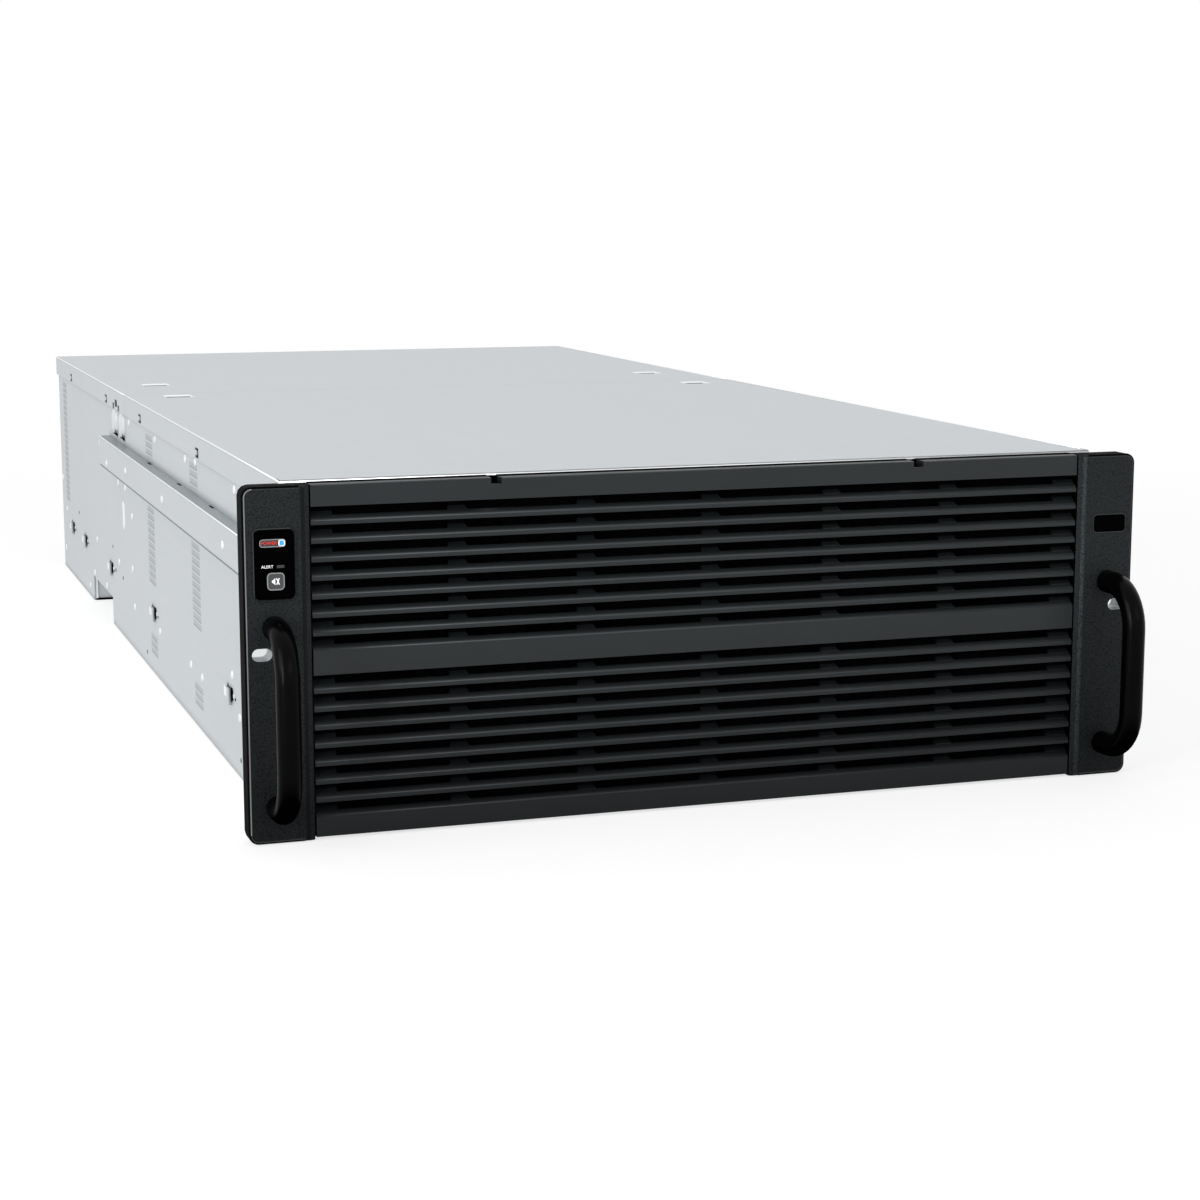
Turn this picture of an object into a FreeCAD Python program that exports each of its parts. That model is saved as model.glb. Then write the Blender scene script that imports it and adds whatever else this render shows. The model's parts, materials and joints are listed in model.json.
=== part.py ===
import FreeCAD, Part
import math
import os

from FreeCAD import Vector

# Disk shelf enclosure: a four-unit rack shelf that holds sixty upright disk drives.
# Millimetres. X runs across the rack, Y from the front to the rear and Z up.
# The layout starts at the rear face of the ears (Y 0) and at the floor (Z 0).
# Every piece is moved at the end, so that the middle of the footprint is the origin.

# Whole shelf
shelf_w = 441.0            # over the cover skirts
shelf_h = 176.2            # floor to the top of the covers
shelf_d = 942.0            # ear rear face to the rear of the covers
sheet = 1.2                # steel sheet of walls, floor, covers and frames
gap = 0.3                  # room left between pieces that come apart
pin_sides = 12             # flats round a pin, a bore or a screw hole
corner_steps = 3           # flats round a small corner

# Covers
skirt_h = 14.5             # depth of the cover's side skirt
seam_y = 532.0             # where the front cover meets the rear cover
cover_y0 = 1.0             # front edge of the front cover
bend_r = 1.6               # outer radius of the folded edges
pocket_w = 19.0            # finger pocket across the shelf
pocket_l = 21.0            # finger pocket along the shelf
pocket_deep = 2.0
pocket_inset = 33.5        # pocket centre to the cover's edge
front_pocket_back = 24.0   # front pocket ahead of the seam
rear_pocket_back = 79.0    # rear pocket behind the seam
tongue_front_y = 237.0     # lanced tongues in the skirts
tongue_seam_back = (-70.0, 97.0)           # the two beside the seam
tongue_rear_inset = 103.0  # the last one ahead of the rear end
tongue_cut_l = 11.0
tongue_cut_h = 5.8
tongue_cut_w = 1.5         # width of the cut round a tongue
catch_back = 45.0          # cover catch window behind the seam
catch_slot_l = 12.0
catch_z0 = 2.4             # lower edge of the slot above the skirt edge
catch_h = 7.4
catch_notch_dy = 13.0      # notches on either side of the slot
catch_notch_l = 8.0
catch_notch_h = 4.4

# Side walls
flange_w = 12.0            # inward flange at the top of each wall
slit_l = 27.0              # ventilation slit along Y
slit_h = 2.4
slit_pitch = 4.7
slit_rows = 22
slit_z0 = 60.8             # lowest slit of a tall column
slit_front_y = 260.0
slit_mid_y = 434.0
slit_rear_inset = 40.5     # rear column to the rear panel
slit_rear_l = 22.0
low_slit_rows = 3
low_slit_z0 = 13.6
hook_y = (155.0, 431.0, 638.0)     # lanced hooks for the rack slide
hook_rear_inset = (152.5, 70.5)    # two more, ahead of the rear panel
hook_z = 42.0
hook_l = 18.0
hook_h = 9.0
hook_lip_l = 10.0
hook_lip_h = 7.6
hook_out = 2.0             # how far a hook stands off the wall
oval_y = 563.0             # tall oval hole
oval_z = 89.6
oval_w = 13.0
oval_h = 21.0
scoop_dy = (-25.0, 10.5)   # pressed scoops below the cover catch
scoop_w = 13.0
scoop_h = 17.5
scoop_drop = 0.7           # top of a scoop below the skirt
scoop_out = 2.0

# Floor pan with its crosswise channel
channel_fan_gap = 41.8     # fans to the channel
channel_board_gap = 2.6    # channel to the midplane board
channel_h = 19.5
pan_flange_over = 1.6      # side flange above the drive board

# Rack slide member on each side wall
rail_out = 7.4             # how far the member stands off the wall
rail_drop = 43.4           # lower edge of the member below the skirt
rail_h = 21.1
rail_y1 = 626.0
rail_t = 1.5
rail_slot_y = (157.0, 270.0, 487.0, 515.0)
rail_slot_l = 15.0
rail_slot_w = 2.4

# Ears
ear_w = 33.0
ear_gap = 0.5              # ear to the bezel
ear_short = 1.2            # ear top below the cover top
ear_t = 12.0
ear_strip_w = 4.5          # sloped inner strip down to the bezel
ear_corner_r = 5.0
ear_edge_r = 1.2            # broken front edge
bracket_t = 2.0
bracket_leg = 100.0        # bracket leg along the side wall
bracket_in = 1.5           # bracket edge inside the ear's outline

# Rack slots
rack_slot_edge = 8.45      # slot centre to the ear's outer edge
rack_slot_dz = 6.1         # slot above the middle of the ear
rack_slot_l = 10.0
rack_slot_h = 6.4

# Handles
handle_d = 12.0
handle_from_wall = 7.3     # handle centre outside the side wall
handle_z0 = 18.0
handle_drop = 68.5         # upper leg below the ear's top
handle_reach = 29.5        # ear face to the centre line of the grip
handle_bend = 22.0
bend_steps = 4             # flats along each bend
bar_sides = 12             # flats round the bar
handle_screw_d = 5.0
handle_screw_l = 11.0      # length inside the handle
screw_head_d = 8.5
screw_head_h = 3.0
screw_sides = 6            # flats round a screw's shank and head

# Front bezel
bezel_inset = 13.0         # bezel edge inside the cover's edge
bezel_front = 10.0         # bezel face in front of the ear's rear face
bezel_z0 = 1.0
bezel_short = 1.2          # bezel top below the cover top
bezel_t = 2.0
bezel_end_w = 11.5         # plain plate at each end
louvre_bars = 7            # free bars in each half
top_strip_h = 10.8         # plain strip above the upper louvres
louvre_lip = 2.4
louvre_t = 1.8
louvre_slope_z = 4.0
louvre_slope_y = 5.0
louvre_solid = 0.5         # share of the slope that runs unbroken
base_ridge_z = 11.5        # top edge of the bottom strip
band_h = 12.7              # plain band across the middle
rib_w = 8.0
rib_flare = 1.8            # each rib widens by this towards the ridge
rib_end = 7.4              # room beyond the last rib's bay
ribs_each_side = 2
bezel_notch_inset = 93.2
bezel_notch_w = 5.6
bezel_notch_h = 3.3

# Status panel on the left ear
panel_edge = 15.3          # panel centre to the ear's outer edge
panel_drop = 37.6          # panel centre below the ear's top
panel_w = 19.2
panel_h = 33.6
panel_r = 2.6
panel_sunk = 0.8           # depth of the seat in the ear
panel_proud = 0.9
panel_rim = 1.3
panel_floor = 0.5          # the window lies this far below the rim
power_dx = -0.8
power_dz = 10.4
power_w = 12.8
power_h = 4.2
alert_dx = 2.9
alert_dz = -1.0
alert_w = 3.6
alert_h = 1.4
mute_dx = 0.4
mute_dz = -8.1
mute_w = 8.5
mute_r = 2.1
mute_t = 3.0
mute_travel = 0.8
mute_well = 4.6            # depth of the well in the ear behind the window

# Plain badge on the right ear
badge_edge = 14.3          # badge centre to the ear's outer edge
badge_drop = 37.1          # badge centre below the ear's top
badge_w = 18.7
badge_h = 9.2
badge_r = 1.8
badge_sunk = 0.8
badge_proud = 0.7
badge_rim = 0.8
badge_floor = 0.3

# Front intake panel
intake_cols = 4
intake_rows = 3
intake_bar = 12.0          # sheet left between two slots
intake_margin = 14.0

# Disk drives, standing on end, twelve in a row and five rows
drive_w = 26.1
drive_l = 101.6
drive_head = 10.6          # room between a drive and the cover
drive_edge = 4.8           # half a drive's bay to the side wall
drive_cols = 12
drive_rows = 5
row_room = 4.4             # row pitch beyond a drive's length
row_y0 = 5.0               # front face of the first cross wall
cage_t = 1.0
cage_bar = 31.8            # sheet left between two windows
cage_windows = 2
cage_sill = 30.0           # plain strip below and above the windows
board_z = 8.0
board_t = 2.4
board_edge = 4.0           # board edge to the side wall
foot_w = 10.0              # board feet lanced up from the floor
foot_rows = 3
foot_cols = 2
plug_w = 20.0
plug_l = 38.0
plug_h = 7.0
carrier_t = 1.2
carrier_over = 1.2         # top of the carrier above the drive

# Fan wall
fan_wall_gap = 21.0        # last cross wall to the fan wall
fan_count = 3
fan_edge = 13.8            # side wall to the outer fan's bay
fan_room = 16.0            # between two fans
fan_depth = 38.0
fan_rim = 3.0              # fan frame round its opening
fan_sides = 20             # flats round a fan opening
fan_hub_r = 21.0
fan_hub_l = 28.0
fan_tip_gap = 1.0
fan_blades = 6
blade_t = 1.6
blade_lean = 38.0          # degrees from the fan's plane
blade_root = 0.75          # blades start at this share of the hub's radius
pin_r = 2.0
pin_gap = 0.08             # running clearance of a rotor on its pin
fan_strut_w = 4.0
fan_strut_t = 4.0

# Rear bay: power supplies at the sides, expander modules in the middle
bay_back = 3.0             # modules reach this far past the dividers
psu_w = 73.5
psu_h = 39.0
psu_l = 185.0
psu_wall_gap = 8.0         # side wall to power supply
psu_t = 1.0
psu_fan_r = 15.5
psu_fan_sides = 16
psu_fan_x = 16.4           # fan centre from the middle of the supply
psu_hub_r = 7.0
psu_hub_l = 14.0
psu_pin_r = 1.6
psu_blades = 5
guard_bar = 1.8
guard_disc_r = 5.0
inlet_w = 27.4
inlet_h = 20.0
inlet_deep = 17.0
inlet_rim = 1.6
inlet_recess = 13.0
inlet_pin_w = 2.0
inlet_pin_h = 4.0
inlet_pin_x = 7.0
inlet_side = 0.45          # inlet rim to the side of the supply
grip_x = -1.2              # grip centre from the middle of the supply
grip_w = 8.0
grip_t = 2.4
grip_out = 19.0
grip_r = 5.0
latch_w = 12.0
latch_t = 1.6
latch_out = 15.0
latch_pad_l = 4.5          # thick end of the tab
latch_barrel_r = 1.9
latch_pin_r = 0.9
latch_ear_t = 1.4
io_t = 1.0
bay_strip_w = 16.8         # closed strip between supply and module
io_board_z = 4.0
io_foot_w = 5.0            # feet under the module's board
io_foot_inset = 10.0
io_board_t = 1.6
port_w = 11.4
port_h = 8.6
port_t = 0.6
port_l = 32.0
port_count = 3
port_pitch = 22.0
port_inset = 25.0          # first port from the edge of the module
air_slots = 4
air_port_gap = 9.0         # last port to the first air slot
air_edge = 4.0             # last air slot to the edge of the module
air_slot_w = 3.0
air_slot_z0 = 6.5
air_slot_z1 = 19.5
sink_w = 38.0
sink_l = 46.0
sink_h = 16.0
sink_base = 4.0
sink_fins = 7
sink_fin_t = 1.4
lever_l = 62.0
lever_h = 9.0
lever_t = 3.0
lever_inset = 9.0          # lever pivot from the edge of the module
lever_drop = 8.5           # lever below the top of the module
lever_tip_out = 7.0
midplane_gap = 5.9         # front of the midplane board to the modules
midplane_t = 2.4
midplane_h = 62.0
midplane_edge = 12.8       # board edge to the side wall
mate_h = 18.0
mate_w = 52.0

# Rear panel
exhaust_cols = 6
exhaust_rows = 3
exhaust_bar = 8.0          # sheet left between two slots
exhaust_side = 25.8
exhaust_low = 18.0         # first slot above the bay's shelf
exhaust_top = 19.5

# Worked out from the sizes above
half_w = shelf_w / 2
wall_out = half_w - sheet - gap
wall_in = wall_out - sheet
cover_under = shelf_h - sheet
wall_top = cover_under - gap
flange_z = wall_top - sheet
skirt_z = shelf_h - skirt_h
rear_out = shelf_d - sheet - gap
rear_in = rear_out - sheet
pocket_x = half_w - pocket_inset
catch_y = seam_y + catch_back
tongue_seam_y = [seam_y + back for back in tongue_seam_back]
tongue_y = [tongue_front_y] + tongue_seam_y + [shelf_d - tongue_rear_inset]
scoop_y = [catch_y + dy for dy in scoop_dy]
scoop_z1 = skirt_z - scoop_drop
scoop_z0 = scoop_z1 - scoop_h
rail_z0 = skirt_z - rail_drop
slit_rear_y = rear_out - slit_rear_inset
hook_places = list(hook_y) + [rear_out - inset for inset in hook_rear_inset]
half_bezel = half_w - bezel_inset
ear_inner_x = half_bezel + ear_gap
ear_face_x = ear_inner_x + ear_strip_w
half_span = ear_inner_x + ear_w
ear_h = shelf_h - ear_short
ear_front = -ear_t
panel_z = ear_h - panel_drop
power_z = panel_z + power_dz
alert_z = panel_z + alert_dz
mute_z = panel_z + mute_dz
badge_z = ear_h - badge_drop
rack_slot_z = ear_h / 2 + rack_slot_dz
handle_z1 = ear_h - handle_drop
rack_x = half_span - rack_slot_edge
handle_x = wall_out + handle_from_wall
panel_x = half_span - panel_edge
badge_x = half_span - badge_edge
grip_y = ear_front - handle_reach
bezel_y = -bezel_front
rib_pitch = (half_bezel - rib_end) / (ribs_each_side + 1)
bezel_notch_x = half_bezel - bezel_notch_inset
bezel_top = shelf_h - bezel_short
louvre_room = bezel_top - base_ridge_z - band_h - top_strip_h + 2 * louvre_lip
louvre_pitch = louvre_room / (2 * (louvre_bars + 1))
band_z0 = base_ridge_z + (louvre_bars + 1) * louvre_pitch - louvre_lip
band_z1 = band_z0 + band_h
top_strip_z = band_z1 + (louvre_bars + 1) * louvre_pitch - louvre_lip
board_top = board_z + board_t
pan_flange_h = board_top + pan_flange_over
drive_z = board_top + plug_h
drive_top = cover_under - drive_head
drive_pitch = 2 * (wall_in - drive_edge) / drive_cols
row_pitch = drive_l + row_room
fan_wall_y = row_y0 + drive_rows * row_pitch + fan_wall_gap
fan_pitch = 2 * (wall_in - fan_edge) / fan_count
fan_size = fan_pitch - fan_room
fan_bore_r = fan_size / 2 - fan_rim
fan_z = (sheet + flange_z) / 2
bay_z = sheet + gap
bay_top = bay_z + psu_h + gap
psu_x = wall_in - psu_wall_gap - psu_w / 2
inlet_x = inlet_side + inlet_rim + inlet_w / 2 - psu_w / 2
psu_edge = psu_x - psu_w / 2 - gap
io_edge = psu_edge - bay_strip_w
io_w = io_edge - sheet / 2 - 2 * gap
io_x = sheet / 2 + gap + io_w / 2
port_x = port_inset - io_w / 2
ports_end = port_x + (port_count - 1) * port_pitch + port_w / 2 + port_t
air_x0 = ports_end + air_port_gap
air_pitch = (io_w / 2 - air_edge - air_slot_w - air_x0) / (air_slots - 1)
lever_x = lever_inset - io_w / 2
module_y0 = rear_out - psu_l
bay_y0 = module_y0 + bay_back
midplane_y = module_y0 - midplane_gap
channel_y0 = fan_wall_y + sheet + fan_depth + channel_fan_gap
channel_y1 = midplane_y - channel_board_gap
front_y = grip_y - handle_d / 2
back_y = rear_out + grip_out
middle_y = (front_y + back_y) / 2

X = Vector(1, 0, 0)
Y = Vector(0, 1, 0)
Z = Vector(0, 0, 1)
origin = Vector(0, 0, 0)


def box(x0, x1, y0, y1, z0, z1):
    return Part.makeBox(x1 - x0, y1 - y0, z1 - z0, Vector(x0, y0, z0))


def ring(centre, first, second, sides):
    """The corners of a regular outline that stands for a circle, from two radii at right angles."""
    corners = []
    for i in range(sides):
        turn = 2 * math.pi * i / sides
        corners.append(centre + first * math.cos(turn) + second * math.sin(turn))
    return corners


def drum(radius, start, end, sides=pin_sides):
    """A many-sided round between two points on a line along Y or Z."""
    along = end.sub(start)
    second = Z if abs(along.z) < abs(along.y) else Y
    return prism(ring(start, X * radius, second * radius, sides), along)


def prism(points, sweep):
    face = Part.Face(Part.makePolygon(points + points[:1]))
    return face.extrude(sweep)


def join(shapes):
    return shapes[0].fuse(shapes[1:]).removeSplitter()


def cut_all(shape, tools):
    return shape.cut(Part.makeCompound(tools))


def edges_along(shape, axis, wanted=None):
    found = []
    for edge in shape.Edges:
        if len(edge.Vertexes) < 2:
            continue
        line = edge.Vertexes[1].Point.sub(edge.Vertexes[0].Point)
        if line.Length < 1e-6 or abs(line.normalize().dot(axis)) < 0.999:
            continue
        if wanted is None or wanted(edge.CenterOfMass):
            found.append(edge)
    return found


def corner_flats(centre, first, second, radius):
    """Corner points of a quarter round, from its first direction to its second."""
    points = []
    for step in range(corner_steps + 1):
        turn = math.pi / 2 * step / corner_steps
        points.append(centre + (first * math.cos(turn) + second * math.sin(turn)) * radius)
    return points


def plate_y(x, z, width, height, y0, y1, radius):
    """A plate in the XZ plane with rounded corners, each made of a few flats."""
    in_x, in_z = width / 2 - radius, height / 2 - radius
    points = []
    for first, second in ((X, Z), (Z, -X), (-X, -Z), (-Z, X)):
        corner = first + second
        centre = Vector(x + corner.x * in_x, y0, z + corner.z * in_z)
        points += corner_flats(centre, first, second, radius)
    return prism(points, Y * (y1 - y0))


def obround(centre, long_way, sweep, length, width):
    """A prism with an obround section, its round ends made of flats."""
    side = long_way.cross(Vector(sweep).normalize())
    ahead = long_way * ((length - width) / 2)
    points = []
    for way in (1, -1):
        middle = centre + ahead * way
        points += corner_flats(middle, -side * way, long_way * way, width / 2)
        points += corner_flats(middle, long_way * way, side * way, width / 2)[1:]
    return prism(points, sweep)


def oval_along(centre, long_way, sweep, length, width):
    """A prism with an obround section: its long way, then its sweep."""
    half = (length - width) / 2
    side = long_way.cross(Vector(sweep).normalize()) * (width / 2)
    ahead = long_way * half
    tip = long_way * (length / 2)
    a, b = centre + ahead + side, centre + ahead - side
    c, d = centre - ahead - side, centre - ahead + side
    edges = [
        Part.Arc(a, centre + tip, b).toShape(),
        Part.LineSegment(b, c).toShape(),
        Part.Arc(c, centre - tip, d).toShape(),
        Part.LineSegment(d, a).toShape(),
    ]
    return Part.Face(Part.Wire(edges)).extrude(sweep)


def mirrored(shape):
    return shape.mirror(origin, X)


def moved(shape, dx=0.0, dy=0.0, dz=0.0):
    copy = shape.copy()
    copy.translate(Vector(dx, dy, dz))
    return copy


# Covers

def cover(y0, y1, pocket_y):
    """A folded cover: top sheet, two skirts and two drawn finger pockets."""
    outer = box(-half_w, half_w, y0, y1, skirt_z, shelf_h)
    outer = outer.makeFillet(bend_r, edges_along(outer, Y, lambda c: c.z > cover_under))
    hollow = box(-half_w + sheet, half_w - sheet, y0 - 1, y1 + 1, skirt_z - 1, cover_under)
    shell = outer.cut(hollow)
    cups, hollows = [], []
    for side in (-1, 1):
        x = side * pocket_x
        half_x, half_y = pocket_w / 2, pocket_l / 2
        cups.append(box(x - half_x - sheet, x + half_x + sheet, pocket_y - half_y - sheet,
                        pocket_y + half_y + sheet, cover_under - pocket_deep, cover_under))
        hollows.append(box(x - half_x, x + half_x, pocket_y - half_y, pocket_y + half_y,
                           shelf_h - pocket_deep, shelf_h + 1))
    return cut_all(join([shell] + cups), hollows)


def tongue_cuts(places):
    """A C-shaped cut that leaves a tongue, in both skirts."""
    cuts = []
    z0 = skirt_z + sheet
    for y in places:
        half = tongue_cut_l / 2
        window = box(-half_w - 1, half_w + 1, y - half, y + half, z0, z0 + tongue_cut_h)
        leaf = box(-half_w - 1, half_w + 1, y, y + half, z0 + tongue_cut_w, z0 + tongue_cut_h - tongue_cut_w)
        cuts.append(window.cut(leaf))
    return cuts


def front_cover():
    shell = cover(cover_y0, seam_y - gap / 2, seam_y - front_pocket_back)
    notch = box(-half_w - 1, half_w + 1, cover_y0 - 1, cover_y0 + 2 * sheet,
                skirt_z - 1, cover_under - bend_r)
    front_tongues = [y for y in tongue_y if y < seam_y]
    return cut_all(shell, [notch] + tongue_cuts(front_tongues))


def rear_cover():
    y0 = seam_y + gap / 2
    shell = cover(y0, shelf_d, seam_y + rear_pocket_back)
    lip = box(-half_w + bend_r, half_w - bend_r, shelf_d - sheet, shelf_d, skirt_z, cover_under)
    slot = box(-half_w - 1, half_w + 1, catch_y - catch_slot_l / 2, catch_y + catch_slot_l / 2,
               skirt_z + catch_z0, skirt_z + catch_h)
    notches = []
    for side in (-1, 1):
        y = catch_y + side * catch_notch_dy
        notches.append(box(-half_w - 1, half_w + 1, y - catch_notch_l / 2, y + catch_notch_l / 2,
                           skirt_z - 1, skirt_z + catch_notch_h))
    rear_tongues = [y for y in tongue_y if y > seam_y]
    return cut_all(join([shell, lip]), [slot] + notches + tongue_cuts(rear_tongues))


# Chassis

def slit_column(y, length, rows, z0):
    slits = []
    for row in range(rows):
        z = z0 + row * slit_pitch
        behind_rail = y < rail_y1 and rail_z0 - slit_h < z < rail_z0 + rail_h
        if not behind_rail and z + slit_h < skirt_z:
            slits.append(box(-wall_out - 1, -wall_in + 1, y - length / 2, y + length / 2,
                             z, z + slit_h))
    return slits


def hook(y):
    """A tongue lanced out of the wall: a foot at its lower edge and an upright lip."""
    z0 = hook_z - hook_h / 2
    foot = box(-wall_out - hook_out, -wall_in, y - hook_lip_l / 2, y + hook_lip_l / 2, z0 - sheet, z0)
    lip = box(-wall_out - hook_out, -wall_out - hook_out + sheet, y - hook_lip_l / 2,
              y + hook_lip_l / 2, z0 - sheet, z0 + hook_lip_h)
    return join([foot, lip])


def scoop(y):
    """A pressed bulge with a sloped mouth at its foot."""
    height = scoop_z1 - scoop_z0
    centre = Vector(-wall_in, y, (scoop_z0 + scoop_z1) / 2)
    sweep = Vector(-(scoop_out + sheet), 0, 0)
    return obround(centre, Z, sweep, height, scoop_w)


def scoop_mouth(y):
    z1 = scoop_z0 + scoop_w / 2
    points = [Vector(-wall_in + 1, y, scoop_z0 - 1), Vector(-wall_out - scoop_out - 1, y, scoop_z0 - 1),
              Vector(-wall_out - scoop_out - 1, y, scoop_z0 + 1), Vector(-wall_in + 1, y, z1)]
    half = scoop_w / 2 - sheet
    return moved(prism(points, Y * (2 * half)), dy=-half)


def left_side_wall():
    wall = box(-wall_out, -wall_in, 0, rear_out, 0, wall_top)
    flange = box(-wall_out, -wall_in + flange_w, 0, rear_out, flange_z, wall_top)
    wall = join([wall, flange] + [scoop(y) for y in scoop_y])
    cuts = [box(-wall_out - 1, -wall_in + 1, channel_y0, channel_y1, -1, channel_h)]
    for y in (slit_front_y, slit_mid_y):
        cuts += slit_column(y, slit_l, slit_rows, slit_z0)
        cuts += slit_column(y, slit_l, low_slit_rows, low_slit_z0)
    cuts += slit_column(slit_rear_y, slit_rear_l, slit_rows, slit_z0)
    for y in hook_places:
        cuts.append(box(-wall_out - 1, -wall_in + 1, y - hook_l / 2, y + hook_l / 2,
                        hook_z - hook_h / 2, hook_z + hook_h / 2))
    cuts.append(obround(Vector(-wall_out - 1, oval_y, oval_z), Z, X * (sheet + 2), oval_h, oval_w))
    cuts += [scoop_mouth(y) for y in scoop_y]
    return join([cut_all(wall, cuts)] + [hook(y) for y in hook_places])


def bottom_pan():
    """Folded floor with a raised crosswise channel and feet for the drive board."""
    pieces = []
    flats = ((0, channel_y0), (channel_y1, rear_out))
    for y0, y1 in flats:
        pieces.append(box(-wall_in, wall_in, y0, y1, 0, sheet))
    roof_z = channel_h + sheet
    pieces.append(box(-wall_in, wall_in, channel_y0 - sheet, channel_y0, 0, roof_z))
    pieces.append(box(-wall_in, wall_in, channel_y1, channel_y1 + sheet, 0, roof_z))
    pieces.append(box(-wall_in, wall_in, channel_y0 - sheet, channel_y1 + sheet, channel_h, roof_z))
    for side in (-1, 1):
        x0, x1 = sorted((side * wall_in, side * (wall_in - sheet)))
        pieces.append(box(x0, x1, sheet, channel_y0, 0, pan_flange_h))
    step_x = 2 * (wall_in - board_edge) / (foot_cols + 1)
    step_y = drive_rows * row_pitch / foot_rows
    for row in range(foot_rows):
        for col in range(foot_cols):
            x = -wall_in + board_edge + step_x * (col + 1)
            y = row_y0 + step_y * (row + 0.5)
            pieces.append(box(x - foot_w / 2, x + foot_w / 2, y - foot_w / 2, y + foot_w / 2,
                              sheet / 2, board_z))
    return join(pieces)


def rear_panel():
    """The exhaust panel above the plug-in modules."""
    panel = box(-wall_in, wall_in, rear_in, rear_out, bay_top, flange_z)
    pitch_x = 2 * (wall_in - exhaust_side) / exhaust_cols
    low = bay_top + sheet + exhaust_low
    pitch_z = (flange_z - exhaust_top + exhaust_bar - low) / exhaust_rows
    half = (pitch_x - exhaust_bar) / 2
    cuts = []
    for row in range(exhaust_rows):
        for col in range(exhaust_cols):
            x = (col - (exhaust_cols - 1) / 2) * pitch_x
            z = low + row * pitch_z
            cuts.append(box(x - half, x + half, rear_in - 1, rear_out + 1, z, z + pitch_z - exhaust_bar))
    return cut_all(panel, cuts)


def front_intake_panel():
    panel = box(-wall_in, wall_in, 0, sheet, sheet, flange_z)
    pitch_x = 2 * (wall_in - intake_margin) / intake_cols
    pitch_z = (flange_z - sheet - 2 * intake_margin) / intake_rows
    half_x, half_z = (pitch_x - intake_bar) / 2, (pitch_z - intake_bar) / 2
    slots = []
    for row in range(intake_rows):
        for col in range(intake_cols):
            x = (col - (intake_cols - 1) / 2) * pitch_x
            z = sheet + intake_margin + (row + 0.5) * pitch_z
            slots.append(box(x - half_x, x + half_x, -1, sheet + 1, z - half_z, z + half_z))
    return cut_all(panel, slots)


def left_guide_rail():
    """The fixed rack slide member: a channel open towards the wall."""
    x0, x1 = -wall_out - rail_out, -wall_out
    z1 = rail_z0 + rail_h
    bar = box(x0, x1, bracket_t, rail_y1, rail_z0, z1)
    bar = bar.makeFillet(rail_t, edges_along(bar, Y, lambda c: c.x < x1 - rail_t))
    bar = bar.cut(box(x0 + rail_t, x1 + 1, bracket_t - 1, rail_y1 + 1, rail_z0 + rail_t, z1 - rail_t))
    slots = [box(x1 - rail_slot_w, x1 + 1, y - rail_slot_l / 2, y + rail_slot_l / 2,
                 z1 - rail_t - 1, z1 + 1) for y in rail_slot_y]
    return cut_all(bar, slots)


# Ears, brackets and handles

def rack_slot(y0, y1):
    return oval_along(Vector(-rack_x, y0, rack_slot_z), X, Y * (y1 - y0),
                      rack_slot_l, rack_slot_h)


def handle_ends():
    return [Vector(-handle_x, ear_front, z) for z in (handle_z0, handle_z1)]


def ear_body():
    """The left ear, with a sloped strip down to the bezel and rounded outer corners."""
    outline = [Vector(-half_span, 0, 0), Vector(-half_span, ear_front, 0),
               Vector(-ear_face_x, ear_front, 0), Vector(-ear_inner_x, bezel_y, 0),
               Vector(-ear_inner_x, 0, 0)]
    body = prism(outline, Z * ear_h)
    r = ear_corner_r
    low, high = Vector(-half_span + r, ear_front - 1, r), Vector(-half_span + r, ear_front - 1, ear_h - r)
    shape = corner_flats(high, Z, -X, r) + corner_flats(low, -X, -Z, r)
    shape += [Vector(0, ear_front - 1, 0), Vector(0, ear_front - 1, ear_h)]
    body = body.common(prism(shape, Y * (ear_t + 2)))
    rim = [e for e in body.Edges
           if abs(e.CenterOfMass.y - ear_front) < 1e-6 and e.CenterOfMass.x < -ear_face_x - 1]
    body = body.makeChamfer(ear_edge_r, rim)
    holes = [rack_slot(ear_front - 1, 1)]
    for end in handle_ends():
        holes.append(drum(handle_screw_d / 2 + gap, end - Y, Vector(end.x, 1, end.z)))
    return cut_all(body, holes)


def left_ear():
    seat = plate_y(-panel_x, panel_z, panel_w, panel_h, ear_front - 1, ear_front + panel_sunk, panel_r)
    well = plate_y(-panel_x + mute_dx, mute_z, mute_w + 2 * gap, mute_w + 2 * gap,
                   ear_front, ear_front + mute_well, mute_r + gap)
    return cut_all(ear_body(), [seat, well])


def right_ear():
    seat = plate_y(badge_x, badge_z, badge_w, badge_h, ear_front - 1, ear_front + badge_sunk, badge_r)
    return mirrored(ear_body()).cut(seat)


def left_ear_bracket():
    """An angle of thicker sheet behind the ear, riveted to the side wall."""
    outer_x = -half_span + bracket_in
    plate = box(outer_x, -wall_out, 0, bracket_t, bracket_in, ear_h - bracket_in)
    leg = box(-wall_out - bracket_t, -wall_out, 0, bracket_leg, bracket_in, rail_z0 - gap)
    relief = box(-half_w - gap, -wall_out + 1, -1, bracket_t + 1, skirt_z - gap, shelf_h)
    holes = [rack_slot(-1, bracket_t + 1), relief]
    for end in handle_ends():
        holes.append(drum(screw_head_d / 2 + gap, Vector(end.x, -1, end.z),
                          Vector(end.x, bracket_t + 1, end.z)))
    return cut_all(join([plate, leg]), holes)


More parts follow.
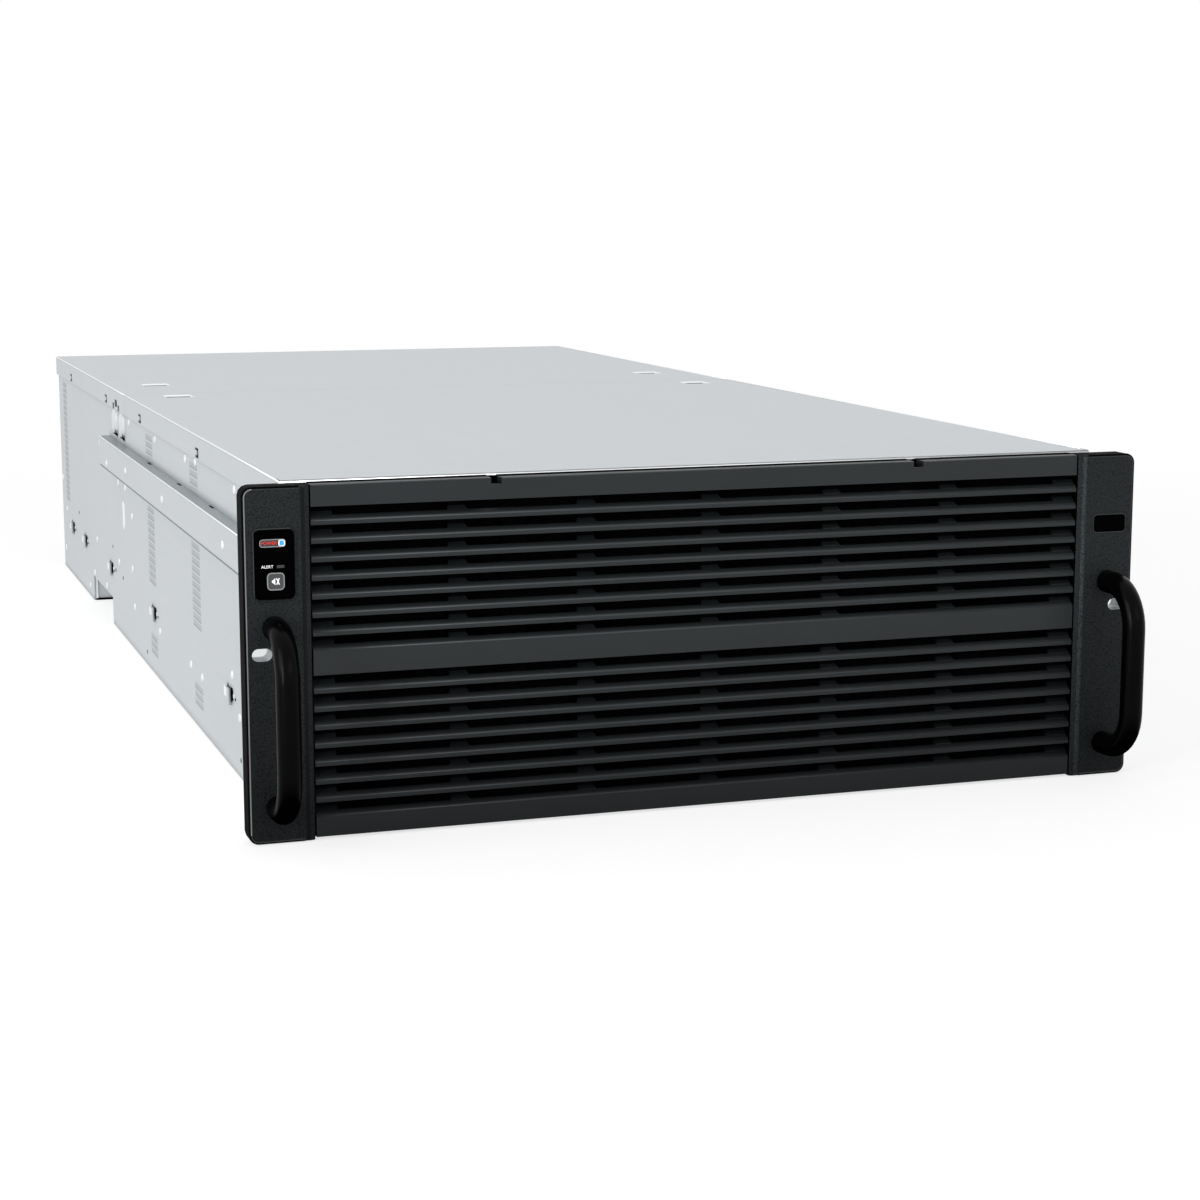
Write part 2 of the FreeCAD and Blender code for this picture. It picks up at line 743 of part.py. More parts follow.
def left_handle():
    """A round bar bent twice, skinned with flats from ring to ring and bored for its screws."""
    centres = []
    for z_end, up in ((handle_z0, 1), (handle_z1, -1)):
        leg = [(Vector(-handle_x, ear_front, z_end), 0)]
        for step in range(bend_steps + 1):
            turn = math.pi / 2 * step / bend_steps
            y = grip_y + handle_bend * (1 - math.sin(turn))
            z = z_end + up * handle_bend * (1 - math.cos(turn))
            leg.append((Vector(-handle_x, y, z), up * turn))
        centres.append(leg)
    path = centres[0] + [(point, math.pi + turn) for point, turn in reversed(centres[1])]
    rings = []
    for point, turn in path:
        side = Vector(0, math.sin(turn), math.cos(turn)) * (handle_d / 2)
        corners = ring(point, X * (handle_d / 2), side, bar_sides)
        rings.append(corners + corners[:1])
    faces = [Part.Face(Part.makePolygon(rings[0])), Part.Face(Part.makePolygon(rings[-1]))]
    for a, b in zip(rings, rings[1:]):
        for i in range(bar_sides):
            faces.append(Part.Face(Part.makePolygon([a[i], a[i + 1], b[i + 1], b[i], a[i]])))
    bar = Part.makeSolid(Part.makeShell(faces))
    bores = [drum(handle_screw_d / 2 + pin_gap, end + Y, end - Y * (handle_screw_l + gap))
             for end in handle_ends()]
    return cut_all(bar, bores)


def handle_screws():
    screws = []
    for end in handle_ends():
        seat = Vector(end.x, 0, end.z)
        shank = drum(handle_screw_d / 2, end - Y * handle_screw_l, seat, screw_sides)
        head = drum(screw_head_d / 2, seat, seat + Y * screw_head_h, screw_sides)
        screw = join([shank, head])
        screws += [screw, mirrored(screw)]
    return Part.makeCompound(screws)


# Front bezel

def slope_point(x, ridge_z, share, back=0.0):
    """A point on a louvre's slope, share 0 at the ridge and 1 at its upper edge."""
    return Vector(x, bezel_y + share * louvre_slope_y + back, ridge_z + share * louvre_slope_z)


def louvre(ridge_z, lip):
    """One louvre across the bezel: an upright lip and the unbroken part of its slope."""
    x = -half_bezel + bezel_t
    points = [Vector(x, bezel_y, ridge_z - lip), slope_point(x, ridge_z, 0),
              slope_point(x, ridge_z, louvre_solid), slope_point(x, ridge_z, louvre_solid, louvre_t),
              Vector(x, bezel_y + louvre_t, ridge_z - lip)]
    return prism(points, X * (2 * (half_bezel - bezel_t)))


def slope_tongue(x, ridge_z, width):
    """The slope's upper part where it runs up onto a rib, flared towards the ridge."""
    low, high = width / 2 + rib_flare, width / 2
    points = [slope_point(x - low, ridge_z, louvre_solid), slope_point(x + low, ridge_z, louvre_solid),
              slope_point(x + high, ridge_z, 1), slope_point(x - high, ridge_z, 1)]
    return prism(points, Y * louvre_t)


def front_bezel():
    """A moulded bezel: a thin frame, two banks of louvres and ribs that tie them together."""
    back = 0
    frame = box(-half_bezel, half_bezel, bezel_y, back, bezel_z0, bezel_top)
    frame = frame.cut(box(-half_bezel + bezel_t, half_bezel - bezel_t, bezel_y + bezel_t, back + 1,
                          bezel_z0 + bezel_t, bezel_top - bezel_t))
    window_x = half_bezel - bezel_end_w
    windows = [box(-window_x, window_x, bezel_y - 1, bezel_y + bezel_t + 1, z0, z1)
               for z0, z1 in ((base_ridge_z, band_z0), (band_z1, top_strip_z))]
    frame = cut_all(frame, windows)
    pieces = [frame]
    for base_z in (base_ridge_z, band_z1):
        for row in range(louvre_bars + 1):
            ridge_z = base_z + row * louvre_pitch
            pieces.append(louvre(ridge_z, louvre_lip if row else bezel_t))
            for rib in range(-ribs_each_side, ribs_each_side + 1):
                pieces.append(slope_tongue(rib * rib_pitch, ridge_z, rib_w))
    rib_y = bezel_y + louvre_slope_y
    for rib in range(-ribs_each_side, ribs_each_side + 1):
        x = rib * rib_pitch
        pieces.append(box(x - rib_w / 2, x + rib_w / 2, rib_y, back, bezel_z0, bezel_top))
    shell = join(pieces)
    notches = [box(side * bezel_notch_x - bezel_notch_w / 2, side * bezel_notch_x + bezel_notch_w / 2,
                   bezel_y - 1, back + 1, bezel_top - bezel_notch_h, bezel_top + 1)
               for side in (-1, 1)]
    return cut_all(shell, notches)


# Status panel and badge

def window_holes():
    y0, y1 = ear_front - panel_proud - 1, ear_front + panel_sunk + 1
    power = obround(Vector(-panel_x + power_dx, y0, power_z), X, Y * (y1 - y0), power_w, power_h)
    half_w, half_h = alert_w / 2, alert_h / 2
    alert_x = -panel_x + alert_dx
    alert = box(alert_x - half_w, alert_x + half_w, y0, y1, alert_z - half_h, alert_z + half_h)
    mute = plate_y(-panel_x + mute_dx, mute_z, mute_w + 2 * gap, mute_w + 2 * gap, y0, y1, mute_r + gap)
    return [power, alert, mute]


def framed_plate(x, z, width, height, radius, sunk, proud, rim, floor):
    """A small plate set into an ear, with a raised rim round a lower face."""
    plate = plate_y(x, z, width, height, ear_front - proud, ear_front + sunk, radius)
    half_w, half_h = width / 2 - rim, height / 2 - rim
    recess = box(x - half_w, x + half_w, ear_front - proud - 1, ear_front - proud + floor,
                 z - half_h, z + half_h)
    recess = recess.makeChamfer(radius - rim / 2, edges_along(recess, Y))
    return plate.cut(recess)


def status_panel():
    plate = framed_plate(-panel_x, panel_z, panel_w, panel_h, panel_r, panel_sunk, panel_proud,
                         panel_rim, panel_floor)
    return cut_all(plate, window_holes())


def badge_plate():
    return framed_plate(badge_x, badge_z, badge_w, badge_h, badge_r, badge_sunk, badge_proud,
                        badge_rim, badge_floor)


def window_face():
    return ear_front - panel_proud + panel_floor


def power_light():
    y0, y1 = window_face(), ear_front + panel_sunk
    return obround(Vector(-panel_x + power_dx, y0, power_z), X, Y * (y1 - y0), power_w, power_h)


def alert_light():
    half_w, half_h = alert_w / 2, alert_h / 2
    x = -panel_x + alert_dx
    return box(x - half_w, x + half_w, window_face(), ear_front + panel_sunk, alert_z - half_h,
               alert_z + half_h)


def mute_button():
    """A square key with rounded corners."""
    face_y = window_face() - mute_travel / 2
    return plate_y(-panel_x + mute_dx, mute_z, mute_w, mute_w, face_y, face_y + mute_t, mute_r)


# Drive bay

def drive_places(row):
    y = row_y0 + cage_t + (row_pitch - cage_t) / 2 + row * row_pitch
    return [(drive_pitch * (col - (drive_cols - 1) / 2), y) for col in range(drive_cols)]


def drive_cage():
    """Cross walls between the rows, with air windows, reaching both side walls."""
    walls = []
    top = drive_top + carrier_over
    for row in range(drive_rows + 1):
        y = row_y0 + row * row_pitch
        wall = box(-wall_in, wall_in, y, y + cage_t, pan_flange_h, top)
        pitch = 2 * wall_in / cage_windows
        half = (pitch - cage_bar) / 2
        windows = []
        for i in range(cage_windows):
            x = (i - (cage_windows - 1) / 2) * pitch
            windows.append(box(x - half, x + half, y - 1, y + cage_t + 1,
                               pan_flange_h + cage_sill, top - cage_sill))
        walls.append(cut_all(wall, windows))
    return Part.makeCompound(walls)


def drive_backplane():
    half = wall_in - board_edge
    return box(-half, half, row_y0, row_y0 + drive_rows * row_pitch, board_z, board_top)


def drive_connectors():
    """One moulded connector strip under each row of drives."""
    strips = []
    for row in range(drive_rows):
        places = drive_places(row)
        x0, x1 = places[0][0] - plug_w / 2, places[-1][0] + plug_w / 2
        y = places[0][1]
        strips.append(box(x0, x1, y - plug_l / 2, y + plug_l / 2, board_top, drive_z))
    return Part.makeCompound(strips)


def drives(row):
    blocks = []
    for x, y in drive_places(row):
        blocks.append(box(x - drive_w / 2, x + drive_w / 2, y - drive_l / 2, y + drive_l / 2,
                          drive_z, drive_top))
    return Part.makeCompound(blocks)


def drive_carriers():
    """The carrier plate over each drive, which bridges its bay from wall to wall."""
    carriers = []
    half_y = (row_pitch - cage_t) / 2
    half_x = drive_w / 2 + carrier_t
    top = drive_top + carrier_over
    for row in range(drive_rows):
        for x, y in drive_places(row):
            carriers.append(box(x - half_x, x + half_x, y - half_y, y + half_y, top - carrier_t, top))
    return Part.makeCompound(carriers)


# Fans

def fan_places():
    return [(i - (fan_count - 1) / 2) * fan_pitch for i in range(fan_count)]


def fan_wall():
    wall = box(-wall_in, wall_in, fan_wall_y, fan_wall_y + sheet, sheet, flange_z)
    half = fan_bore_r
    holes = [box(x - half, x + half, fan_wall_y - 1, fan_wall_y + sheet + 1, fan_z - half, fan_z + half)
             for x in fan_places()]
    for side in (-1, 1):
        x0, x1 = sorted((side * (wall_in - sheet), side * (wall_in + 1)))
        holes.append(box(x0, x1, fan_wall_y - 1, fan_wall_y + sheet + 1, 0, pan_flange_h))
    return cut_all(wall, holes)


def fan_housing(x):
    """A square fan frame whose rear struts carry the motor's disc and pin."""
    y0 = fan_wall_y + sheet
    y1 = y0 + fan_depth
    half = fan_size / 2
    frame = box(x - half, x + half, y0, y1, fan_z - half, fan_z + half)
    frame = frame.cut(drum(fan_bore_r, Vector(x, y0 - 1, fan_z), Vector(x, y1 + 1, fan_z), fan_sides))
    strut_y = y1 - fan_strut_t
    cross = box(x - half, x + half, strut_y, y1, fan_z - fan_strut_w / 2, fan_z + fan_strut_w / 2)
    upright = box(x - fan_strut_w / 2, x + fan_strut_w / 2, strut_y, y1, fan_z - half, fan_z + half)
    disc = drum(fan_hub_r, Vector(x, strut_y, fan_z), Vector(x, y1, fan_z), 2 * fan_blades)
    pin = drum(pin_r, Vector(x, strut_y - fan_hub_l - 2 * gap, fan_z), Vector(x, strut_y, fan_z))
    return join([frame, cross, upright, disc, pin])


def rotor(x, y0, z, hub_r, hub_l, tip_r, bore_r, blades):
    """A hub bored for its pin, with leaning flat blades that stop short of the housing."""
    hub = drum(hub_r, Vector(x, y0, z), Vector(x, y0 + hub_l, z), 2 * blades)
    lean = math.radians(blade_lean)
    half = min((hub_l / 2 - blade_t) / math.sin(lean), hub_r * math.sin(math.pi / blades) / math.cos(lean))
    across = Vector(math.cos(lean), math.sin(lean), 0) * half
    thick = Vector(-math.sin(lean), math.cos(lean), 0) * (blade_t / 2)
    widest = half * math.cos(lean) + blade_t / 2
    centre = Vector(x, y0 + hub_l / 2, z + hub_r / 2)
    section = [centre - across - thick, centre + across - thick,
               centre + across + thick, centre - across + thick]
    blade = prism(section, Z * (math.sqrt(tip_r ** 2 - widest ** 2) - hub_r / 2))
    blade = blade.cut(box(x - hub_r, x + hub_r, y0, y0 + hub_l, z, z + blade_root * hub_r))
    parts = [hub]
    for i in range(blades):
        copy = blade.copy()
        copy.rotate(Vector(x, y0, z), Y, 360.0 * i / blades)
        parts.append(copy)
    return join(parts).cut(drum(bore_r, Vector(x, y0 - 1, z), Vector(x, y0 + hub_l + 1, z)))


def fan_rotor(x):
    y1 = fan_wall_y + sheet + fan_depth - fan_strut_t - gap
    return rotor(x, y1 - fan_hub_l, fan_z, fan_hub_r, fan_hub_l, fan_bore_r - fan_tip_gap,
                 pin_r + pin_gap, fan_blades)


# Rear bay

def rear_bay_shelf():
    return box(-wall_in, wall_in, bay_y0, rear_in, bay_top, bay_top + sheet)


def folded_divider(x0, x1, left, right):
    """A folded divider: a closing strip at the rear with a wall on either edge."""
    pieces = [box(x0, x1, rear_in, rear_out, sheet, bay_top)]
    if left:
        pieces.append(box(x0, x0 + sheet, bay_y0, rear_out, sheet, bay_top))
    if right:
        pieces.append(box(x1 - sheet, x1, bay_y0, rear_out, sheet, bay_top))
    return join(pieces)


def rear_bay_dividers():
    """Upright dividers that guide the modules and close the strips between them."""
    wall_edge = psu_x + psu_w / 2 + gap
    right = [folded_divider(io_edge, psu_edge, True, True),
             folded_divider(wall_edge, wall_in, True, False)]
    centre = box(-sheet / 2, sheet / 2, bay_y0, rear_out, sheet, bay_top)
    return Part.makeCompound([mirrored(piece) for piece in right] + right + [centre])


def midplane_board():
    """The board that the rear modules plug into, with one connector for each."""
    y1 = midplane_y + midplane_t
    half = wall_in - midplane_edge
    pieces = [box(-half, half, midplane_y, y1, sheet, sheet + midplane_h)]
    for x in (-psu_x, -io_x, io_x, psu_x):
        z = bay_z + psu_h / 2
        pieces.append(box(x - mate_w / 2, x + mate_w / 2, y1, module_y0 - gap,
                          z - mate_h / 2, z + mate_h / 2))
    return Part.makeCompound(pieces)


def psu_fan_centre(x):
    return Vector(x + psu_fan_x, rear_out, bay_z + psu_h / 2)


def psu_inlet_centre(x):
    return Vector(x + inlet_x, rear_out, bay_z + psu_h / 2)


def latch_axis(x):
    """The latch turns on an upright pin near the supply's edge."""
    return Vector(x + psu_w / 2 - latch_barrel_r - gap, rear_out + latch_barrel_r + gap, bay_z + psu_h / 2)


def psu_case(x):
    """A folded case, open at its connector end, with a guarded fan hole and latch ears."""
    x0, x1 = x - psu_w / 2, x + psu_w / 2
    z0, z1 = bay_z, bay_z + psu_h
    case = box(x0, x1, module_y0, rear_out, z0, z1)
    case = case.cut(box(x0 + psu_t, x1 - psu_t, module_y0 - 1, rear_out - psu_t, z0 + psu_t, z1 - psu_t))
    fan = psu_fan_centre(x)
    hole = drum(psu_fan_r, fan - Y * (psu_t + 1), fan + Y, psu_fan_sides)
    bars = [box(fan.x - psu_fan_r, fan.x + psu_fan_r, rear_out - psu_t, rear_out,
                fan.z - guard_bar / 2, fan.z + guard_bar / 2),
            box(fan.x - guard_bar / 2, fan.x + guard_bar / 2, rear_out - psu_t, rear_out,
                fan.z - psu_fan_r, fan.z + psu_fan_r)]
    disc = drum(guard_disc_r, fan - Y * psu_t, fan, psu_fan_sides // 2)
    pin = drum(psu_pin_r, fan - Y * (psu_t + psu_hub_l + 3 * gap), fan - Y * psu_t)
    inlet = psu_inlet_centre(x)
    socket = box(inlet.x - inlet_w / 2, inlet.x + inlet_w / 2, rear_out - psu_t - 1, rear_out + 1,
                 inlet.z - inlet_h / 2, inlet.z + inlet_h / 2)
    axis = latch_axis(x)
    ears = []
    for side in (-1, 1):
        near = axis.z + side * (latch_w / 2 + gap)
        far = near + side * latch_ear_t
        a, b = sorted((near, far))
        ears.append(box(axis.x - latch_barrel_r, axis.x + latch_barrel_r, rear_out,
                        axis.y + latch_barrel_r, a, b))
    reach = Z * (latch_w / 2 + latch_ear_t)
    spindle = drum(latch_pin_r, axis - reach, axis + reach)
    return join([cut_all(case, [hole, socket])] + bars + [disc, pin, spindle] + ears)


def psu_rotor(x):
    fan = psu_fan_centre(x)
    y1 = rear_out - psu_t - 2 * gap
    return rotor(fan.x, y1 - psu_hub_l, fan.z, psu_hub_r, psu_hub_l, psu_fan_r - fan_tip_gap,
                 psu_pin_r + pin_gap, psu_blades)


def psu_inlet(x):
    """A three-pin power inlet, set in the case with a thin rim outside."""
    centre = psu_inlet_centre(x)
    cx, cz = centre.x, centre.z
    body = box(cx - inlet_w / 2, cx + inlet_w / 2, rear_out - inlet_deep, rear_out,
               cz - inlet_h / 2, cz + inlet_h / 2)
    rim = box(cx - inlet_w / 2 - inlet_rim, cx + inlet_w / 2 + inlet_rim, rear_out, rear_out + inlet_rim,
              cz - inlet_h / 2 - inlet_rim, cz + inlet_h / 2 + inlet_rim)
    recess = box(cx - inlet_w / 2 + inlet_rim, cx + inlet_w / 2 - inlet_rim, rear_out - inlet_recess,
                 rear_out + inlet_rim + 1, cz - inlet_h / 2 + inlet_rim, cz + inlet_h / 2 - inlet_rim)
    shell = join([body, rim]).cut(recess)
    pins = []
    for dx, dz in ((-inlet_pin_x, 0), (inlet_pin_x, 0), (0, inlet_pin_h)):
        z0 = cz - inlet_pin_h / 2 + dz
        pins.append(box(cx + dx - inlet_pin_w / 2, cx + dx + inlet_pin_w / 2,
                        rear_out - inlet_recess, rear_out - 2 * inlet_rim, z0, z0 + inlet_pin_h))
    return join([shell] + pins)


def psu_handle(x):
    """A flat strap bent into a pull."""
    z0, z1 = bay_z + 2 * psu_t, bay_z + psu_h - 2 * psu_t
    x0, x1 = x + grip_x - grip_w / 2, x + grip_x + grip_w / 2
    outer = box(x0, x1, rear_out, rear_out + grip_out, z0, z1)
    outer = outer.makeChamfer(grip_r, edges_along(outer, X, lambda c: c.y > rear_out + 1))
    inner = box(x0 - 1, x1 + 1, rear_out - 1, rear_out + grip_out - grip_t, z0 + grip_t, z1 - grip_t)
    inner = inner.makeChamfer(grip_r - grip_t / 2, edges_along(inner, X, lambda c: c.y > rear_out + 1))
    return outer.cut(inner)


def psu_latch(x):
    """A thumb tab on an upright barrel."""
    axis = latch_axis(x)
    barrel = drum(latch_barrel_r, axis - Z * (latch_w / 2), axis + Z * (latch_w / 2))
    tab = box(axis.x - latch_t / 2, axis.x + latch_t / 2, axis.y, axis.y + latch_out,
              axis.z - latch_w / 2, axis.z + latch_w / 2)
    pad = box(axis.x - latch_barrel_r, axis.x + latch_barrel_r, axis.y + latch_out - latch_pad_l,
              axis.y + latch_out, axis.z - latch_w / 2, axis.z + latch_w / 2)
    bore = drum(latch_pin_r + pin_gap, axis - Z * latch_w, axis + Z * latch_w)
    return join([barrel, tab, pad]).cut(bore)


def lever_axis(x):
    return Vector(x + lever_x, rear_out + lever_t / 2 + 2 * gap, bay_z + psu_h - lever_drop)


def port_places(x):
    return [x + port_x + i * port_pitch for i in range(port_count)]


def port_z0():
    return bay_z + io_board_z + io_board_t


def io_case(x):
    """A tray with side walls and a faceplate with ports, air slots and lever lugs."""
    x0, x1 = x - io_w / 2, x + io_w / 2
    z0, z1 = bay_z, bay_z + psu_h
    tray = box(x0, x1, module_y0, rear_out, z0, z1)
    tray = tray.cut(box(x0 + io_t, x1 - io_t, module_y0 - 1, rear_out - io_t, z0 + io_t, z1 + 1))
    cuts = []
    for px in port_places(x):
        half = port_w / 2 + port_t
        cuts.append(box(px - half - gap, px + half + gap, rear_out - io_t - 1, rear_out + 1,
                        port_z0() - gap, port_z0() + port_h + 2 * port_t + gap))
    for i in range(air_slots):
        air_x = x + air_x0 + i * air_pitch
        cuts.append(box(air_x, air_x + air_slot_w, rear_out - io_t - 1, rear_out + 1,
                        z0 + air_slot_z0, z0 + air_slot_z1))
    axis = lever_axis(x)
    lugs = []
    for side in (-1, 1):
        near = axis.z + side * (lever_h / 2 + gap)
        a, b = sorted((near, near + side * latch_ear_t))
        lugs.append(box(axis.x - lever_t / 2, axis.x + lever_t / 2, rear_out, axis.y + lever_t / 2, a, b))
    reach = Z * (lever_h / 2 + latch_ear_t)
    spindle = drum(latch_pin_r, axis - reach, axis + reach)
    feet = []
    for fy in (module_y0 + io_foot_inset, rear_out - port_l - io_foot_inset):
        for fx in (x0 + io_foot_inset, x1 - io_foot_inset):
            feet.append(box(fx - io_foot_w / 2, fx + io_foot_w / 2, fy - io_foot_w / 2,
                            fy + io_foot_w / 2, z0 + io_t / 2, z0 + io_board_z))
    return join([cut_all(tray, cuts), spindle] + lugs + feet)


def io_board(x):
    """The module's circuit board with its port cages and a finned heat sink."""
    z0 = bay_z + io_board_z
    z1 = z0 + io_board_t
    half = io_w / 2 - io_t - gap
    solids = [box(x - half, x + half, module_y0 + gap, rear_out - io_t - gap, z0, z1)]
    for px in port_places(x):
        outer = box(px - port_w / 2 - port_t, px + port_w / 2 + port_t, rear_out - port_l, rear_out,
                    z1, z1 + port_h + 2 * port_t)
        mouth = box(px - port_w / 2, px + port_w / 2, rear_out - port_l + port_t, rear_out + 1,
                    z1 + port_t, z1 + port_t + port_h)
        solids.append(outer.cut(mouth))
    sy = (module_y0 + rear_out - port_l) / 2
    fins = [box(x - sink_w / 2, x + sink_w / 2, sy - sink_l / 2, sy + sink_l / 2, z1, z1 + sink_base)]
    for i in range(sink_fins):
        fx = x - sink_w / 2 + sink_fin_t / 2 + i * (sink_w - sink_fin_t) / (sink_fins - 1)
        fins.append(box(fx - sink_fin_t / 2, fx + sink_fin_t / 2, sy - sink_l / 2, sy + sink_l / 2,
                        z1, z1 + sink_h))
    solids.append(join(fins))
    return Part.makeCompound(solids)


def io_lever(x):
    """The pull-out lever that lies across the faceplate."""
    axis = lever_axis(x)
    barrel = drum(lever_t / 2, axis - Z * (lever_h / 2), axis + Z * (lever_h / 2))
    bar = box(axis.x, axis.x + lever_l, axis.y - lever_t / 2, axis.y + lever_t / 2,
              axis.z - lever_h / 2, axis.z + lever_h / 2)
    tip = box(axis.x + lever_l - lever_t, axis.x + lever_l, axis.y - lever_t / 2,
              axis.y + lever_tip_out, axis.z - lever_h / 2, axis.z + lever_h / 2)
    bore = drum(latch_pin_r + pin_gap, axis - Z * lever_h, axis + Z * lever_h)
    return join([barrel, bar, tip]).cut(bore)


def write(node, shape):
    placed = shape.copy()
    placed.translate(Y * -middle_y)
    if not placed.isValid():
        print("not valid:", node)
    placed.exportStep("parts/" + node + ".step")


def build():
    os.makedirs("parts", exist_ok=True)
    nodes = {
        "front_cover": front_cover(),
        "rear_cover": rear_cover(),
        "bottom_pan": bottom_pan(),
        "left_side_wall": left_side_wall(),
        "right_side_wall": mirrored(left_side_wall()),
        "rear_panel": rear_panel(),
        "front_intake_panel": front_intake_panel(),
        "left_guide_rail": left_guide_rail(),
        "right_guide_rail": mirrored(left_guide_rail()),
        "left_ear": left_ear(),
        "right_ear": right_ear(),
        "left_ear_bracket": left_ear_bracket(),
        "right_ear_bracket": mirrored(left_ear_bracket()),
        "left_handle": left_handle(),
        "right_handle": mirrored(left_handle()),
        "handle_screws": handle_screws(),
        "front_bezel": front_bezel(),
        "status_panel": status_panel(),
        "power_light": power_light(),
        "alert_light": alert_light(),
        "mute_button": mute_button(),
        "badge_plate": badge_plate(),
        "drive_cage": drive_cage(),
        "drive_backplane": drive_backplane(),
        "drive_connectors": drive_connectors(),
        "drive_carriers": drive_carriers(),
        "fan_wall": fan_wall(),
        "rear_bay_shelf": rear_bay_shelf(),
        "rear_bay_dividers": rear_bay_dividers(),
        "midplane_board": midplane_board(),
    }
    for row in range(drive_rows):
        nodes["drives_row_" + str(row + 1)] = drives(row)
    for i, x in enumerate(fan_places()):
        nodes["fan_housing_" + str(i + 1)] = fan_housing(x)
        nodes["fan_rotor_" + str(i + 1)] = fan_rotor(x)
    for side, sign in (("left", -1), ("right", 1)):
        nodes["psu_" + side + "_case"] = psu_case(sign * psu_x)
        nodes["psu_" + side + "_rotor"] = psu_rotor(sign * psu_x)
        nodes["psu_" + side + "_inlet"] = psu_inlet(sign * psu_x)
        nodes["psu_" + side + "_handle"] = psu_handle(sign * psu_x)
        nodes["psu_" + side + "_latch"] = psu_latch(sign * psu_x)
        nodes["expander_" + side + "_case"] = io_case(sign * io_x)
        nodes["expander_" + side + "_board"] = io_board(sign * io_x)
        nodes["expander_" + side + "_lever"] = io_lever(sign * io_x)
    for node, shape in nodes.items():
        write(node, shape)


build()
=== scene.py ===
import json
import math

import bmesh
import bpy
from mathutils import Euler, Matrix, Vector


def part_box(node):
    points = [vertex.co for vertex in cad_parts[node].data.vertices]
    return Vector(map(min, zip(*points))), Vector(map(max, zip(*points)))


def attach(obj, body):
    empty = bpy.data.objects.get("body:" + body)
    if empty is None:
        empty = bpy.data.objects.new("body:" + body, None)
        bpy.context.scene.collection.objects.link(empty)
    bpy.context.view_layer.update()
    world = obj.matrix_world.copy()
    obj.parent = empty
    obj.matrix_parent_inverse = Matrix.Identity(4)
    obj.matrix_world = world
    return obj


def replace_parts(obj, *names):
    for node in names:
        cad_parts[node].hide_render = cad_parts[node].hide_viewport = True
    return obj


# A four-unit disk shelf: galvanised case, black ears and handles, and a louvred grey bezel.
# Metres. X runs across the rack, Y from the bezel to the rear and Z up, as in the frame.
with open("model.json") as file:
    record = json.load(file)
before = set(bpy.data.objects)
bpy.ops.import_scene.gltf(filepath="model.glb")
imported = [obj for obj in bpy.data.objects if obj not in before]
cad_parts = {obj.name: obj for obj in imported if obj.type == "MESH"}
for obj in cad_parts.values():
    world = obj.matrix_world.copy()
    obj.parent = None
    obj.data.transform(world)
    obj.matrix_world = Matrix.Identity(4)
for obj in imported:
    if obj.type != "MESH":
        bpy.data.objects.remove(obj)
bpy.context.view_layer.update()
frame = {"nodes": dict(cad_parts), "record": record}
nodes = frame["nodes"]
MM = 0.001

LEFT, RIGHT = -1, 1
SIDES = {"left": LEFT, "right": RIGHT}


# Places taken from the frame

ear_low, ear_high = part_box("left_ear")
EAR_FACE, EAR_BACK = ear_low.y, ear_high.y
WALL_FACE, RAIL_FACE = [corner.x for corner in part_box("right_guide_rail")]
panel_low, panel_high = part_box("status_panel")
badge_low, badge_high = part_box("badge_plate")
key_low, key_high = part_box("mute_button")


# Helpers

def linear(text):
    """Linear colour with alpha from an sRGB hex value."""
    parts = [int(text[i:i + 2], 16) / 255 for i in (1, 3, 5)]
    return tuple([c / 12.92 if c <= 0.04045 else ((c + 0.055) / 1.055) ** 2.4 for c in parts] + [1.0])


def feed(tree, node, links):
    """Gives each named input of a node a value or a link. A node stands for its first output."""
    for socket, value in links.items():
        if isinstance(value, bpy.types.Node):
            value = value.outputs[0]
        if isinstance(value, bpy.types.NodeSocket):
            tree.links.new(value, node.inputs[socket])
        else:
            node.inputs[socket].default_value = value


def add_node(tree, kind, links=None, stops=(), **settings):
    """Adds a node, and gives it its settings, its colour stops if it has any, and its links."""
    made = tree.nodes.new(kind)
    for name, value in settings.items():
        setattr(made, name, value)
    for number, (position, colour) in enumerate(stops):
        made.color_ramp.elements[number].position = position
        made.color_ramp.elements[number].color = linear(colour)
    feed(tree, made, links or {})
    return made


def empty_tree(owner):
    """Turns on the nodes of a material or world, and clears them."""
    owner.use_nodes = True
    owner.node_tree.nodes.clear()
    return owner.node_tree


def new_material(name):
    """A node material with its output, shader and object coordinates in metres."""
    material = bpy.data.materials.new(name)
    tree = empty_tree(material)
    out = add_node(tree, "ShaderNodeOutputMaterial")
    shader = add_node(tree, "ShaderNodeBsdfPrincipled")
    feed(tree, out, {"Surface": shader})
    return material, tree, shader, add_node(tree, "ShaderNodeTexCoord").outputs["Object"]


def per_metre(size_mm):
    """Texture scale at which one feature of the pattern is this many millimetres."""
    return 1000.0 / size_mm


def face_on(low, high):
    """A box as seen from the front: the x and z of its middle, its width and its height."""
    return (low.x + high.x) / 2, (low.z + high.z) / 2, high.x - low.x, high.z - low.z


def turns(count):
    """The angles of equal steps round a full turn."""
    return [2 * math.pi * i / count for i in range(count)]


def mesh_piece(name, material, build, body="chassis", smooth=False):
    """A new mesh piece that rides on a body. build fills the bmesh, in the frame's metres."""
    mesh = bpy.data.meshes.new(name)
    work = bmesh.new()
    build(work)
    bmesh.ops.recalc_face_normals(work, faces=work.faces)
    for face in work.faces:
        face.smooth = smooth
    work.to_mesh(mesh)
    work.free()
    mesh.materials.append(material)
    piece = bpy.data.objects.new(name, mesh)
    bpy.context.scene.collection.objects.link(piece)
    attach(piece, body)
    return piece


def add_box(work, low, high):
    centre = (Vector(low) + Vector(high)) / 2
    size = Vector(high) - Vector(low)
    bmesh.ops.create_cube(work, size=1.0, matrix=Matrix.Translation(centre) @ Matrix.Diagonal((*size, 1)))


